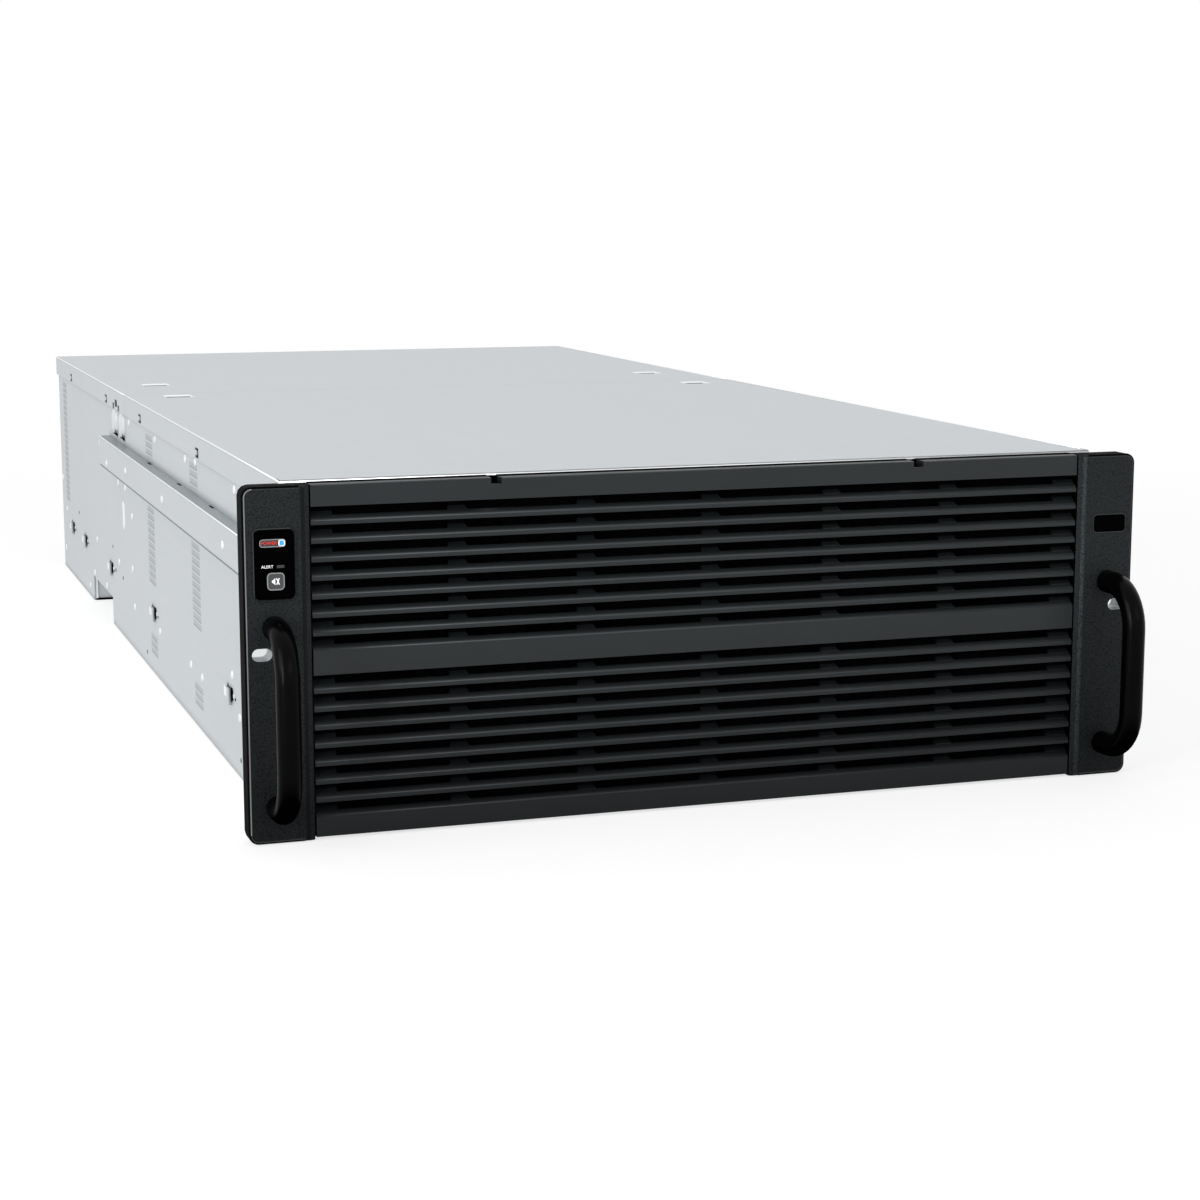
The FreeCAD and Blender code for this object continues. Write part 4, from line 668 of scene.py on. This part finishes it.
def ladder_strips(sign, low, high, depth):
    """A strip along each slit of the ladders: its grey leaf, painted as the slit's shade, or the painted
    shadow at its lower edge.
    """
    strips = []
    for y, length in LADDERS:
        rows = [SLIT_Z0 + SLIT_PITCH * i for i in range(SLITS)]
        if y < RAIL_BACK:
            rows = [z for z in rows if not RAIL_FOOT < z < RAIL_TOP]
            rows += [LOW_SLIT_Z0 + SLIT_PITCH * i for i in range(LOW_SLITS)]
        half = length / 2 + 0.2
        strips += [(on_wall(-0.4, depth), (y - half, y + half), (z + low, z + high)) for z in rows]
    return blocks([sign], strips)


SCOOP_Y, SCOOP_SIDES = (552.0, 587.5), 28


def scoop_domes(sign):
    """Smooth pressed bulges over the flat-faced ones of the wall."""
    def ring(y, share):
        out = 2.9 * math.sqrt(1 - share ** 5) - 0.05
        return [at(sign * (WALL_X + out), y + 7.9 * share * math.cos(a),
                   153.4 + (2.2 if math.sin(a) >= 0 else -2.2) * share + 6.6 * share * math.sin(a))
                for a in turns(SCOOP_SIDES)]

    def build(work):
        for y in SCOOP_Y:
            loft(work, [ring(y, share) for share in (1.0, 0.95, 0.87, 0.7, 0.4)], ends=(-1,))
    return build


def scoop_mouths(sign):
    """The sloped mouths at the feet of the bulges, black as painted shade."""
    def build(work):
        for y in SCOOP_Y:
            mouth = [(0.1, -5.6, 143.0), (0.1, 5.6, 143.0), (2.3, 5.0, 144.6), (2.3, -5.0, 144.6)]
            loft(work, [[at(sign * (WALL_X + out), y + along, z) for out, along, z in mouth],
                        [at(sign * (WALL_X - 0.1), y + along, z) for _, along, z in mouth]], ends=(0, 1))
    return build


def add_bead(work, start, end, out, radius, proud):
    """A rounded bead along a fold, from start to end, that swells outwards and keeps below the fold's top."""
    arc = [math.pi / 2 * k / 4 for k in range(5)]
    section = [(proud - radius + radius * math.cos(a), radius * math.sin(a) - radius) for a in arc]
    loft(work, [[point + Vector(out) * reach * MM + Vector((0, 0, lift)) * MM
                 for reach, lift in section + [(0, -radius)]] for point in (start, end)],
         closed=False, ends=(0, 1))


def side_folds(x, y, z):
    """Beads along the upper folds of both sides, for the painted fold highlight."""
    def build(work):
        for sign in SIDES.values():
            add_bead(work, at(sign * x, y[0], z), at(sign * x, y[1], z), (sign, 0, 0), 0.62, 0.2)
    return build


def oval_blank(sign):
    """The blanking leaf inside the tall oval hole and the rim behind it, near white and faintly glowing as a
    painted highlight.
    """
    def build(work):
        for y, width, height, depth in ((563.9, 12.6, 20.6, 0.05), (566.2, 5.2, 18.4, 0.25)):
            outline = rounded_outline(y, 89.2, width, height, width / 2 - 0.1)
            loft(work, [[at(sign * (WALL_X + out), py, z) for py, z in outline] for out in (depth, -1.3)],
                 ends=(0,))
    return build


# Parts of a lanced hook, each as limits out from the wall, along from the hook and above the floor:
# the lip and the nib ahead of it, bright as a painted highlight, the opening with its corner cuts and
# pinhole, black as painted shade, and the sheet above and below it.
HOOKS = [155.0, 431.0, 638.0, 788.0, 870.0]
HOOK_LIPS = [((0.6, 2.1), (1.2, 8.4), (39.6, 44.8)), ((0.02, 0.5), (-13.6, -11.0), (41.2, 43.4))]
HOOK_SHADOWS = [((0.02, 0.07), y, z) for y, z in (
    ((-9.2, 9.2), (39.4, 44.9)), ((5.6, 8.4), (44.9, 46.2)), ((5.6, 8.4), (38.2, 39.4)),
    ((-8.0, -3.0), (44.9, 45.8)), ((-8.0, -3.0), (38.4, 39.4)), ((-16.6, -13.4), (40.2, 41.8)))]
HOOK_PLATES = [((-0.3, 0.03), (-9.6, 9.6), z) for z in ((36.8, 39.4), (44.9, 47.2))]


def at_hooks(sign, parts):
    return blocks([sign], [(on_wall(*x), (hook + y[0], hook + y[1]), z)
                           for hook in HOOKS for x, y, z in parts])


TONGUES, CATCH = (237.0, 462.0, 629.0, 839.0), (558.0, 596.0)
RAIL_STOPS = (197.0, 309.0, 429.0)
BOTH = SIDES.values()

# a painted highlight along each slide member's upper fold
mesh_piece("rail_folds", fold_highlight_zinc, side_folds(RAIL_X, RAIL_Y, RAIL_TOP + 0.12), smooth=True)
# A painted shadow along the dark gap below each slide member
mesh_piece("rail_shadows", slit_shadow_dark, blocks(BOTH, [
    ((RAIL_X - 0.3, RAIL_X + 0.03), RAIL_Y, (118.32, 119.0))]))
# The lower edge of the crosswise channel's rear wall, seen at both ends, black as painted shade, and its fold
# as a painted highlight
mesh_piece("channel_foot", painted_shade_dark, blocks(BOTH, [((196.0, 217.6), (745.9, 746.5), (0.0, 1.5))]))
mesh_piece("channel_fold", fold_highlight_zinc, blocks(BOTH, [((216.2, 217.7), (745.9, 746.6), (1.5, 18.9))]))
for side, sign in SIDES.items():
    # the rivets near white with a faint glow, as painted highlight
    for name, places, face_x in (("_wall_rivets", WALL_RIVETS, WALL_X),
                                 ("_rail_rivets", RAIL_RIVETS, RAIL_X)):
        mesh_piece(side + name, rivet_painted_glint, dots(places, sign, face_x, RIVET), smooth=True)
    # the dimples black as painted shade in their hollows
    mesh_piece(side + "_wall_dimples", cavity, dots(WALL_DIMPLES, sign, WALL_X, DIMPLE, 10))
    # grey leaves as the slits' painted shade, and a painted shadow at their lower edges
    mesh_piece(side + "_ladder_leaves", slit_shade_grey, ladder_strips(sign, -0.55, 2.8, 0.02))
    mesh_piece(side + "_ladder_shadows", slit_shadow_dark, ladder_strips(sign, -0.6, -0.05, 0.04))
    # black painted shade behind the cuts of the tongues and of the catch
    mesh_piece(side + "_front_tongue_backs", cavity, blocks([sign], [
        (on_wall(0.02, 0.12), (y - 6.0, y + 6.0), (SKIRT_Z + 0.7, SKIRT_Z + 7.6)) for y in TONGUES]))
    mesh_piece(side + "_catch_back", cavity, blocks([sign], [
        (on_wall(0.02, 0.14), CATCH, (SKIRT_Z - 0.2, SKIRT_Z + 8.2))]))
    # the bulges paler than the wall as painted light, their mouths black as painted shade
    mesh_piece(side + "_scoop_domes", scoop_painted_light, scoop_domes(sign), smooth=True)
    mesh_piece(side + "_scoop_mouths", cavity, scoop_mouths(sign))
    # A grey strip of painted shade on the slide member's upper ledge, and black painted shade at the stops on
    # it
    mesh_piece(side + "_rail_ledge_shade", ledge_shade_grey, blocks([sign], [
        ((WALL_X + 0.05, RAIL_X - 1.0), RAIL_Y, (RAIL_TOP - 0.05, RAIL_TOP + 0.14))]))
    mesh_piece(side + "_rail_stops", cavity, blocks([sign], [
        (on_wall(0.05, 1.4), (y - 6.0, y + 6.0), (RAIL_TOP - 0.05, RAIL_TOP + 0.2)) for y in RAIL_STOPS]))
    mesh_piece(side + "_oval_blank", rivet_painted_glint, oval_blank(sign))
    mesh_piece(side + "_hook_plates", zinc, at_hooks(sign, HOOK_PLATES))
    # the hooks' openings black as painted shade, and their lips as painted highlight
    mesh_piece(side + "_hook_shadows", painted_shade_dark, at_hooks(sign, HOOK_SHADOWS))
    mesh_piece(side + "_hook_lips", rivet_painted_glint, at_hooks(sign, HOOK_LIPS))


def front_cover_folds(work):
    """Beads of painted highlight along both sides and the front edge of the front cover."""
    y = ends("front_cover")
    side_folds(SKIRT_X, y, COVER_FOLD_Z)(work)
    add_bead(work, at(-SKIRT_X, y[0], COVER_FOLD_Z), at(SKIRT_X, y[0], COVER_FOLD_Z), (0, -1, 0), 1.3, 0.3)


mesh_piece("front_cover_folds", fold_highlight_zinc, front_cover_folds, body="front_cover", smooth=True)
mesh_piece("rear_cover_folds", fold_highlight_zinc, side_folds(SKIRT_X, ends("rear_cover"), COVER_FOLD_Z),
           body="rear_cover", smooth=True)


def bezel_top_gap_shade(work):
    """Black strips of painted shade on the bezel's top, in front of the cover's fold."""
    for x0, x1 in ((-207.0, -117.1), (-111.5, 111.5), (117.1, 207.0)):
        add_box(work, at(x0, -3.4, 174.9), at(x1, 0.4, 175.3))


mesh_piece("bezel_top_gap_shade", painted_shade_dark, bezel_top_gap_shade)


def intake_filter(work):
    """A pleated black dust filter between the intake panel and the first cross wall."""
    low, high, pleat = -216.0, 216.0, 6.0
    count = round((high - low) / pleat)
    rows = []
    for i in range(count + 1):
        x, y = low + i * pleat, 1.5 if i % 2 else 4.2
        rows.append((work.verts.new(at(x, y, 2.0)), work.verts.new(at(x, y, 172.5))))
    for a, b in zip(rows, rows[1:]):
        work.faces.new((a[0], b[0], b[1], a[1]))


mesh_piece("intake_filter", cavity, intake_filter)

POCKET_X, POCKET_HALF_X, POCKET_HALF_Y, RAMP = 187.0, 9.45, 10.45, 0.7


def pocket_edges(centre_y):
    """Ramps of painted highlight at the rear and right ends of the two finger pockets of a cover."""
    def build(work):
        for sign in BOTH:
            x0, x1 = sign * POCKET_X - POCKET_HALF_X, sign * POCKET_X + POCKET_HALF_X
            y0, y1 = centre_y - POCKET_HALF_Y, centre_y + POCKET_HALF_Y
            for foot, top in (([(x0, y1 - RAMP), (x1 - RAMP, y1 - RAMP)], [(x0, y1), (x1, y1)]),
                              ([(x1 - RAMP, y1 - RAMP), (x1 - RAMP, y0)], [(x1, y1), (x1, y0)])):
                corners = [at(*foot[0], 175.0), at(*foot[1], 175.0), at(*top[1], 176.15), at(*top[0], 176.15)]
                work.faces.new([work.verts.new(corner) for corner in corners])
    return build


mesh_piece("front_cover_pocket_edges", fold_highlight_zinc, pocket_edges(508.0), body="front_cover")
mesh_piece("rear_cover_pocket_edges", fold_highlight_zinc, pocket_edges(611.0), body="rear_cover")


# Rear and inner details, in the frame's millimetres

def exhaust_mesh(work):
    """Woven wire mesh behind the exhaust openings."""
    for i in range(87):
        x = -215.0 + 5.0 * i
        add_box(work, inside(x - 0.35, 482.2, 50.0), inside(x + 0.35, 482.7, 166.0))
    for i in range(24):
        z = 50.5 + 5.0 * i
        add_box(work, inside(-215.5, 482.6, z - 0.35), inside(215.5, 483.1, z + 0.35))


mesh_piece("exhaust_mesh", fastener, exhaust_mesh)


def add_wire_ring(work, centre, radius, wire, sides=32, flats=6):
    """A ring of round wire, upright across the air flow."""
    section = [(radius + wire * math.cos(tilt), wire * math.sin(tilt)) for tilt in turns(flats)]
    loft(work, [[centre + inside(reach * math.cos(turn), y, reach * math.sin(turn)) for reach, y in section]
                for turn in turns(sides)], loop=True)


def wire_guard(rotor, y, radii, reach, wire):
    """A finger guard of wire rings on a crossed pair of stays, behind a rotor."""
    x, z, _, _ = face_on(*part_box(rotor))
    centre = Vector((x, y * MM, z))
    stay = (reach - radii[0]) * MM

    def build(work):
        for radius in radii:
            add_wire_ring(work, centre, radius, wire)
        for quarter in (1, 3, 5, 7):
            turn = quarter * math.pi / 4
            axis = Vector((math.cos(turn), 0, math.sin(turn)))
            start = centre + axis * radii[0] * MM + inside(0, -wire, 0)
            add_lathe(work, start, axis, [(0, 0), (wire * MM, 0), (wire * MM, stay), (0, stay)], sides=6)
    return build


for side in SIDES:
    mesh_piece("psu_" + side + "_guard", fastener,
               wire_guard("psu_" + side + "_rotor", 485.6, (4.5, 8.5, 12.5), 16.6, 0.5),
               "psu_" + side, smooth=True)
for number in ("1", "2", "3"):
    mesh_piece("fan_guard_" + number, fastener,
               wire_guard("fan_rotor_" + number, 140.6, (22.0, 32.0, 42.0, 52.0), 58.0, 0.9),
               smooth=True)

SCREW_HEAD = [(0, 0), (3.4 * MM, 0), (3.4 * MM, 0.7 * MM), (2.9 * MM, 1.4 * MM), (1.7 * MM, 1.8 * MM),
              (1.5 * MM, 0.9 * MM), (0, 0.9 * MM)]


def screw_heads(places, axis):
    """Pan heads with a round socket, at points in the frame's millimetres."""
    def build(work):
        for place in places:
            add_lathe(work, inside(*place), axis, SCREW_HEAD, sides=18)
    return build


mesh_piece("rear_panel_screws", fastener,
           screw_heads([(x, 484.45, z) for x in (-212.0, 212.0) for z in (60.0, 108.0, 156.0)], (0, 1, 0)),
           smooth=True)
mesh_piece("rear_cover_screws", fastener,
           screw_heads([(x, 485.95, 168.4) for x in (-190.0, -64.0, 64.0, 190.0)], (0, 1, 0)),
           "rear_cover", smooth=True)

DRIVE_PLACES = [(-195.25 + 35.5 * i, -397.5 + 106.0 * j) for i in range(12) for j in range(5)]
CARRIER_TOP, PULL_HALF, CATCH_BACK = 165.55, 5.5, 34.0
PULL = [(-26.0, 0.0), (-26.0, 2.6), (-22.0, 3.6), (-19.5, 2.4), (14.0, 1.6), (17.0, 0.0)]


def carrier_pulls(work):
    """The sprung pull on each drive carrier: a sloped tongue with a finger ridge."""
    for x, y in DRIVE_PLACES:
        loft(work, [[inside(x + half, y + py, CARRIER_TOP + pz) for py, pz in PULL]
                    for half in (-PULL_HALF, PULL_HALF)], ends=(0, 1))


def carrier_catches(work):
    """The turned catch at the rear end of each carrier."""
    for x, y in DRIVE_PLACES:
        add_lathe(work, inside(x, y + CATCH_BACK, CARRIER_TOP), (0, 0, 1), SCREW_HEAD, sides=12)


mesh_piece("carrier_pulls", nylon, carrier_pulls)
mesh_piece("carrier_catches", fastener, carrier_catches, smooth=True)


def port_mouths(side):
    """Plated frames round the mouths of an expander module's three ports."""
    middle = face_on(*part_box("expander_" + side + "_case"))[0] / MM

    def build(work):
        for i in range(3):
            x = middle - 33.95 + 22.0 * i
            for x0, x1, z0, z1 in ((-5.9, 5.9, 7.2, 8.0), (-5.9, 5.9, 16.0, 16.8), (-5.9, -5.1, 8.0, 16.0),
                                   (5.1, 5.9, 8.0, 16.0)):
                add_box(work, inside(x + x0, 484.3, z0), inside(x + x1, 485.0, z1))
    return build


for side in SIDES:
    mesh_piece("expander_" + side + "_port_mouths", fastener, port_mouths(side),
               "expander_" + side)


# Ears and louvres

def ear_path(sign, inset):
    """The ear's outline, from its lower inner end round both outer corners."""
    outer, radius, top = 241.0 - inset, max(5.0 - inset, 0.4), ear_high.z / MM - inset
    points = [(213.2, inset)]
    for cz, start in ((inset + radius, -90), (top - radius, 0)):
        for i in range(7):
            angle = math.radians(start + 15 * i)
            points.append((outer - radius + radius * math.cos(angle), cz + radius * math.sin(angle)))
    points.append((213.2, top))
    return [Vector((sign * x * MM, EAR_FACE, z * MM)) for x, z in points]


def ear_band(sign, profile, first=0, last=16):
    """A band round the ear's outer edge from (inset, depth) pairs, along part of the outline."""
    lines = [[point + Vector((0, depth * MM, 0)) for point in ear_path(sign, inset)[first:last]]
             for inset, depth in profile]
    return lambda work: loft(work, lines, closed=False)


def ear_fold(sign):
    """The skin of the sloped inner strip of an ear."""
    profile = [(208.03, -9.96), (212.46, -12.03), (212.46, -11.9), (208.03, -9.7)]
    return lambda work: loft(work, [[at(sign * x, y, z) for x, y in profile] for z in (0.3, 174.0)])


ROLLED = [(0.02, 2.4), (0.02, 0.9), (0.12, 0.35), (0.4, 0.03), (0.8, -0.06), (1.1, -0.03)]
for side, sign in SIDES.items():
    fold_paint = powder_shaded if sign == LEFT else powder_lit
    # a black band of painted shade round each ear's rolled edge
    mesh_piece(side + "_ear_rim", painted_shade_dark, ear_band(sign, ROLLED), smooth=True)
    # a painted highlight line just inside each ear's edge
    mesh_piece(side + "_ear_rim_line", rim_painted_highlight, ear_band(sign, [(1.0, -0.06), (1.5, -0.05)]))
    mesh_piece(side + "_ear_fold", fold_paint, ear_fold(sign))
# the ear's upper outer corner with a painted glint
mesh_piece("left_ear_corner_line", corner_painted_glint, ear_band(LEFT, [(0.9, -0.08), (1.5, -0.08)], 7, 15),
           smooth=True)


def paint_lip(low, high, grow, radius, band, proud):
    """The soft lip of paint round a seat in an ear."""
    x, z, width, height = face_on(low, high)
    return lambda work: add_ring(work, x, z, width + grow * MM, height + grow * MM, radius * MM, band * MM,
                                 EAR_FACE, EAR_FACE - proud * MM)


def window_glint(first, last, band):
    """A painted highlight line along part of the lip, counted in steps round its outline from the right."""
    x, z, width, height = face_on(panel_low, panel_high)
    outlines = [rounded_outline(x, z, width + grow * MM, height + grow * MM, corner * MM)[first:last]
                for grow, corner in ((0.6, 2.9), (0.6 + band, 2.9 + band / 2))]
    return lambda work: loft(work, [[(px, EAR_FACE - 0.33 * MM, pz) for px, pz in line] for line in outlines],
                             closed=False)


mesh_piece("status_window_lip", powder, paint_lip(panel_low, panel_high, 2.6, 3.9, 1.1, 0.3))
# the badge lip and the status window's line as painted highlight
mesh_piece("badge_lip", lip_painted_highlight, paint_lip(badge_low, badge_high, 0.7, 2.1, 0.4, 0.12))
mesh_piece("status_window_line", lip_painted_highlight, window_glint(5, 16, 0.8))
# the status window's corner glint, glowing as painted light
mesh_piece("status_window_glint", corner_painted_glint, window_glint(9, 14, 0.9))


def slot_sleeve(sign):
    """The zinc bracket's edge that shows inside the ear's rack slot, in the paler zinc of painted light."""
    outline = rounded_outline(sign * 232.55, 93.6, 9.9, 6.3, 3.1)
    return lambda work: loft(work, [[at(x, y, z) for x, z in outline] for y in (-11.3, -0.2)])


for side, sign in SIDES.items():
    mesh_piece(side + "_slot_sleeve", zinc_lit, slot_sleeve(sign))
# The relief cuts at the front corners of the front cover, where skirt and hem part, black as painted shade
mesh_piece("cover_corner_cuts", painted_shade_dark, blocks(BOTH, [
    ((220.4, 220.47), (8.6, 9.3), (170.0, 175.9)), ((219.6, 220.1), (1.2, 9.0), (176.1, 176.17))]),
    body="front_cover")


BEZEL_END, BEZEL_FACE = 207.2, -10.0
BANKS = [(11.5, 1.0), (94.2, 81.5)]
LOUVRES, LOUVRE_PITCH, LIP, LOUVRE_T, NOTCH = 8, 9.05, 2.4, 1.8, (111.5, 117.1)
RIB_X, RIB_HALF = [-133.4, -66.7, 0.0, 66.7, 133.4], 4.0
TOP_STRIPS = [(-BEZEL_END, -NOTCH[1]), (-NOTCH[0], NOTCH[0]), (NOTCH[1], BEZEL_END)]
RIDGE_R, RIDGE_TURN = 1.1, 51.3


def add_prism(work, profile, x0, x1):
    """A bar across the rack from a (y, z) profile."""
    loft(work, [[at(x, y, z) for y, z in profile] for x in (x0, x1)], ends=(0, 1))


def ridge_arc(ridge):
    """The rounded ridge between a louvre's lip and its slope, as (y, z) points."""
    arc = [math.radians(RIDGE_TURN * k / 4) for k in range(5)]
    return [(BEZEL_FACE + RIDGE_R * (1 - math.cos(turn)), ridge - 0.53 + RIDGE_R * math.sin(turn))
            for turn in arc]


def louvre_rows():
    """The height of each louvre's ridge, and of the foot of its lip."""
    return [(base + row * LOUVRE_PITCH, base + row * LOUVRE_PITCH - LIP if row else foot)
            for base, foot in BANKS for row in range(LOUVRES)]


def bezel_front(work):
    """The louvres' upright lips across the full width, and the plain strips."""
    for ridge, foot in louvre_rows():
        first = ridge_arc(ridge)[0]
        add_prism(work, [(BEZEL_FACE + LOUVRE_T, foot), (BEZEL_FACE + 0.25, foot), (BEZEL_FACE, foot + 0.25),
                         first, (BEZEL_FACE + LOUVRE_T, first[1])], -BEZEL_END, BEZEL_END)
    add_box(work, at(-BEZEL_END, BEZEL_FACE, 164.2), at(BEZEL_END, -8.0, 171.7))
    strip = [(-1.0, 171.7), (BEZEL_FACE, 171.7), (BEZEL_FACE, 174.3), (-9.7, 174.8), (-9.2, 174.9),
             (-1.0, 174.9)]
    for x0, x1 in TOP_STRIPS:
        add_prism(work, strip, x0, x1)


def bezel_ridges(work):
    """The ridges of the louvres and of the top strip, for their painted highlight."""
    for ridge, _ in louvre_rows():
        arc = ridge_arc(ridge)
        add_prism(work, arc + [(arc[-1][0] + 0.8, arc[-1][1]), (arc[0][0] + 0.8, arc[0][1])],
                  -BEZEL_END, BEZEL_END)
    for x0, x1 in TOP_STRIPS:
        add_prism(work, [(-10.03, 174.2), (-9.75, 174.84), (-9.2, 174.95), (-9.2, 174.2)], x0, x1)


def bezel_slopes(work):
    """The slopes above the ridges, and the tongues that run up to the ribs and ends."""
    tongues = [(x - RIB_HALF, x + RIB_HALF, 1.0, 1.0) for x in RIB_X]
    tongues += [(-BEZEL_END, -196.0, 0.0, 0.0), (196.0, BEZEL_END, 1.0, 0.0)]
    for ridge, _ in louvre_rows():
        start = ridge_arc(ridge)[-1]
        add_prism(work, [start, (-7.5, ridge + 2.0), (-7.5 + LOUVRE_T, ridge + 2.0),
                         (start[0] + LOUVRE_T, start[1])], -BEZEL_END, BEZEL_END)
        for x0, x1, flare0, flare1 in tongues:
            corners = [(x0 - flare0, -7.5, 2.0), (x1 + flare1, -7.5, 2.0), (x1, -5.0, 4.0), (x0, -5.0, 4.0)]
            loft(work, [[at(x, y + back, ridge + z) for x, y, z in corners] for back in (0.0, LOUVRE_T)],
                 ends=(0, 1))


def bezel_ribs(work):
    """The plates behind the louvres, black as painted shade in their shadow."""
    for x in RIB_X:
        add_box(work, at(x - RIB_HALF, -5.0, 3.0), at(x + RIB_HALF, -0.2, 171.5))
    for sign in BOTH:
        add_block(work, sign, (196.0, 207.5), (-5.0, -0.2), (1.2, 174.8))
    add_box(work, at(-207.5, -7.8, 1.0), at(207.5, -0.2, 3.0))


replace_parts(mesh_piece("bezel_front", bezel_abs, bezel_front), "front_bezel")
mesh_piece("bezel_ridges", ridge_highlight_abs, bezel_ridges, smooth=True)
# the slopes darker as painted shade under each louvre
mesh_piece("bezel_slopes", bezel_slope_shade, bezel_slopes)
mesh_piece("bezel_ribs", painted_shade_dark, bezel_ribs)


# Room, lights and camera

def shown_plainly(tree):
    """1 for rays that see or mirror a surface or pass through to it, and 0 for those that only light it."""
    rays = add_node(tree, "ShaderNodeLightPath").outputs
    seen = add_node(tree, "ShaderNodeMath", {
        0: rays["Is Camera Ray"], 1: rays["Is Glossy Ray"]}, operation="MAXIMUM")
    return add_node(tree, "ShaderNodeMath", {0: seen, 1: rays["Is Transmission Ray"]}, operation="MAXIMUM")


def stage_floor():
    """A pale studio floor that fades to plain white; it keeps the shadow beside the object."""
    mesh = bpy.data.meshes.new("studio_floor")
    reach = 14.0
    mesh.from_pydata([(-reach, -reach, 0), (reach, -reach, 0), (reach, reach, 0), (-reach, reach, 0)], [],
                     [(0, 1, 2, 3)])
    floor = bpy.data.objects.new("studio_floor", mesh)
    floor.location.z = -0.5 * MM
    bpy.context.scene.collection.objects.link(floor)
    material = bpy.data.materials.new("matt_white_studio_floor")
    tree = empty_tree(material)
    place = add_node(tree, "ShaderNodeTexCoord").outputs["Object"]
    away = add_node(tree, "ShaderNodeVectorMath", {0: place}, operation="LENGTH")
    fade = add_node(tree, "ShaderNodeMapRange", {"Value": away.outputs["Value"], "From Min": 0.75,
                                                 "From Max": 1.5}, interpolation_type="SMOOTHSTEP")
    paint = add_node(tree, "ShaderNodeBsdfDiffuse", {"Color": linear("#B4B4B4")})
    glow = add_node(tree, "ShaderNodeEmission", {"Color": (1, 1, 1, 1), "Strength": 0.7})
    white = add_node(tree, "ShaderNodeEmission", {"Color": (1, 1, 1, 1), "Strength": 1.0})
    near = add_node(tree, "ShaderNodeAddShader", {0: paint, 1: glow})
    shown = add_node(tree, "ShaderNodeMixShader", {0: fade, 1: near, 2: white})
    mixed = add_node(tree, "ShaderNodeMixShader", {0: shown_plainly(tree), 1: paint, 2: shown})
    add_node(tree, "ShaderNodeOutputMaterial", {"Surface": mixed})
    mesh.materials.append(material)


def sky():
    """Even white surroundings: full white where they are seen or mirrored, softer as light."""
    world = bpy.data.worlds.new("studio")
    bpy.context.scene.world = world
    tree = empty_tree(world)
    strength = add_node(tree, "ShaderNodeMapRange", {
        "Value": shown_plainly(tree), "To Min": 0.5, "To Max": 1.0})
    glow = add_node(tree, "ShaderNodeBackground", {"Color": (1, 1, 1, 1), "Strength": strength})
    add_node(tree, "ShaderNodeOutputWorld", {"Surface": glow})


def softbox(name, place, target, size, power):
    lamp = bpy.data.lights.new(name, "AREA")
    lamp.shape = "RECTANGLE"
    lamp.size, lamp.size_y = size
    lamp.energy = power
    holder = bpy.data.objects.new(name, lamp)
    holder.location = place
    holder.rotation_euler = (Vector(target) - Vector(place)).to_track_quat("-Z", "Y").to_euler()
    bpy.context.scene.collection.objects.link(holder)


PHOTO_SIDE, FOCAL_LENGTH = 1200, 2458.46  # the picture's side and the fitted focal length, both in pixels
SENSOR = 36.0


def camera():
    """The photograph's view: long lens, left of the middle, looking a little down."""
    lens = bpy.data.cameras.new("photo_view")
    lens.sensor_width = SENSOR
    lens.lens = SENSOR * FOCAL_LENGTH / PHOTO_SIDE
    lens.clip_end = 50.0
    holder = bpy.data.objects.new("photo_view", lens)
    holder.location = (-0.45029, -1.61837, 0.31409)
    pitch, yaw = 9.473, 18.677
    holder.rotation_euler = Euler((math.radians(90 - pitch), 0, math.radians(-yaw)))
    bpy.context.scene.collection.objects.link(holder)
    bpy.context.scene.camera = holder


stage_floor()
sky()
middle = (0, 0, 0.1)
softbox("top_softbox", (-0.4, 0.2, 2.4), middle, (3.0, 3.0), 3.4)
softbox("left_softbox", (-2.6, -1.2, 1.3), middle, (1.6, 1.6), 27.5)
softbox("left_strip", (-1.8, -1.6, 0.4), middle, (0.12, 1.0), 12.0)
softbox("front_softbox", (0.9, -3.2, 1.5), middle, (2.0, 1.2), 9.0)
camera()
bpy.context.scene.view_settings.view_transform = "Standard"
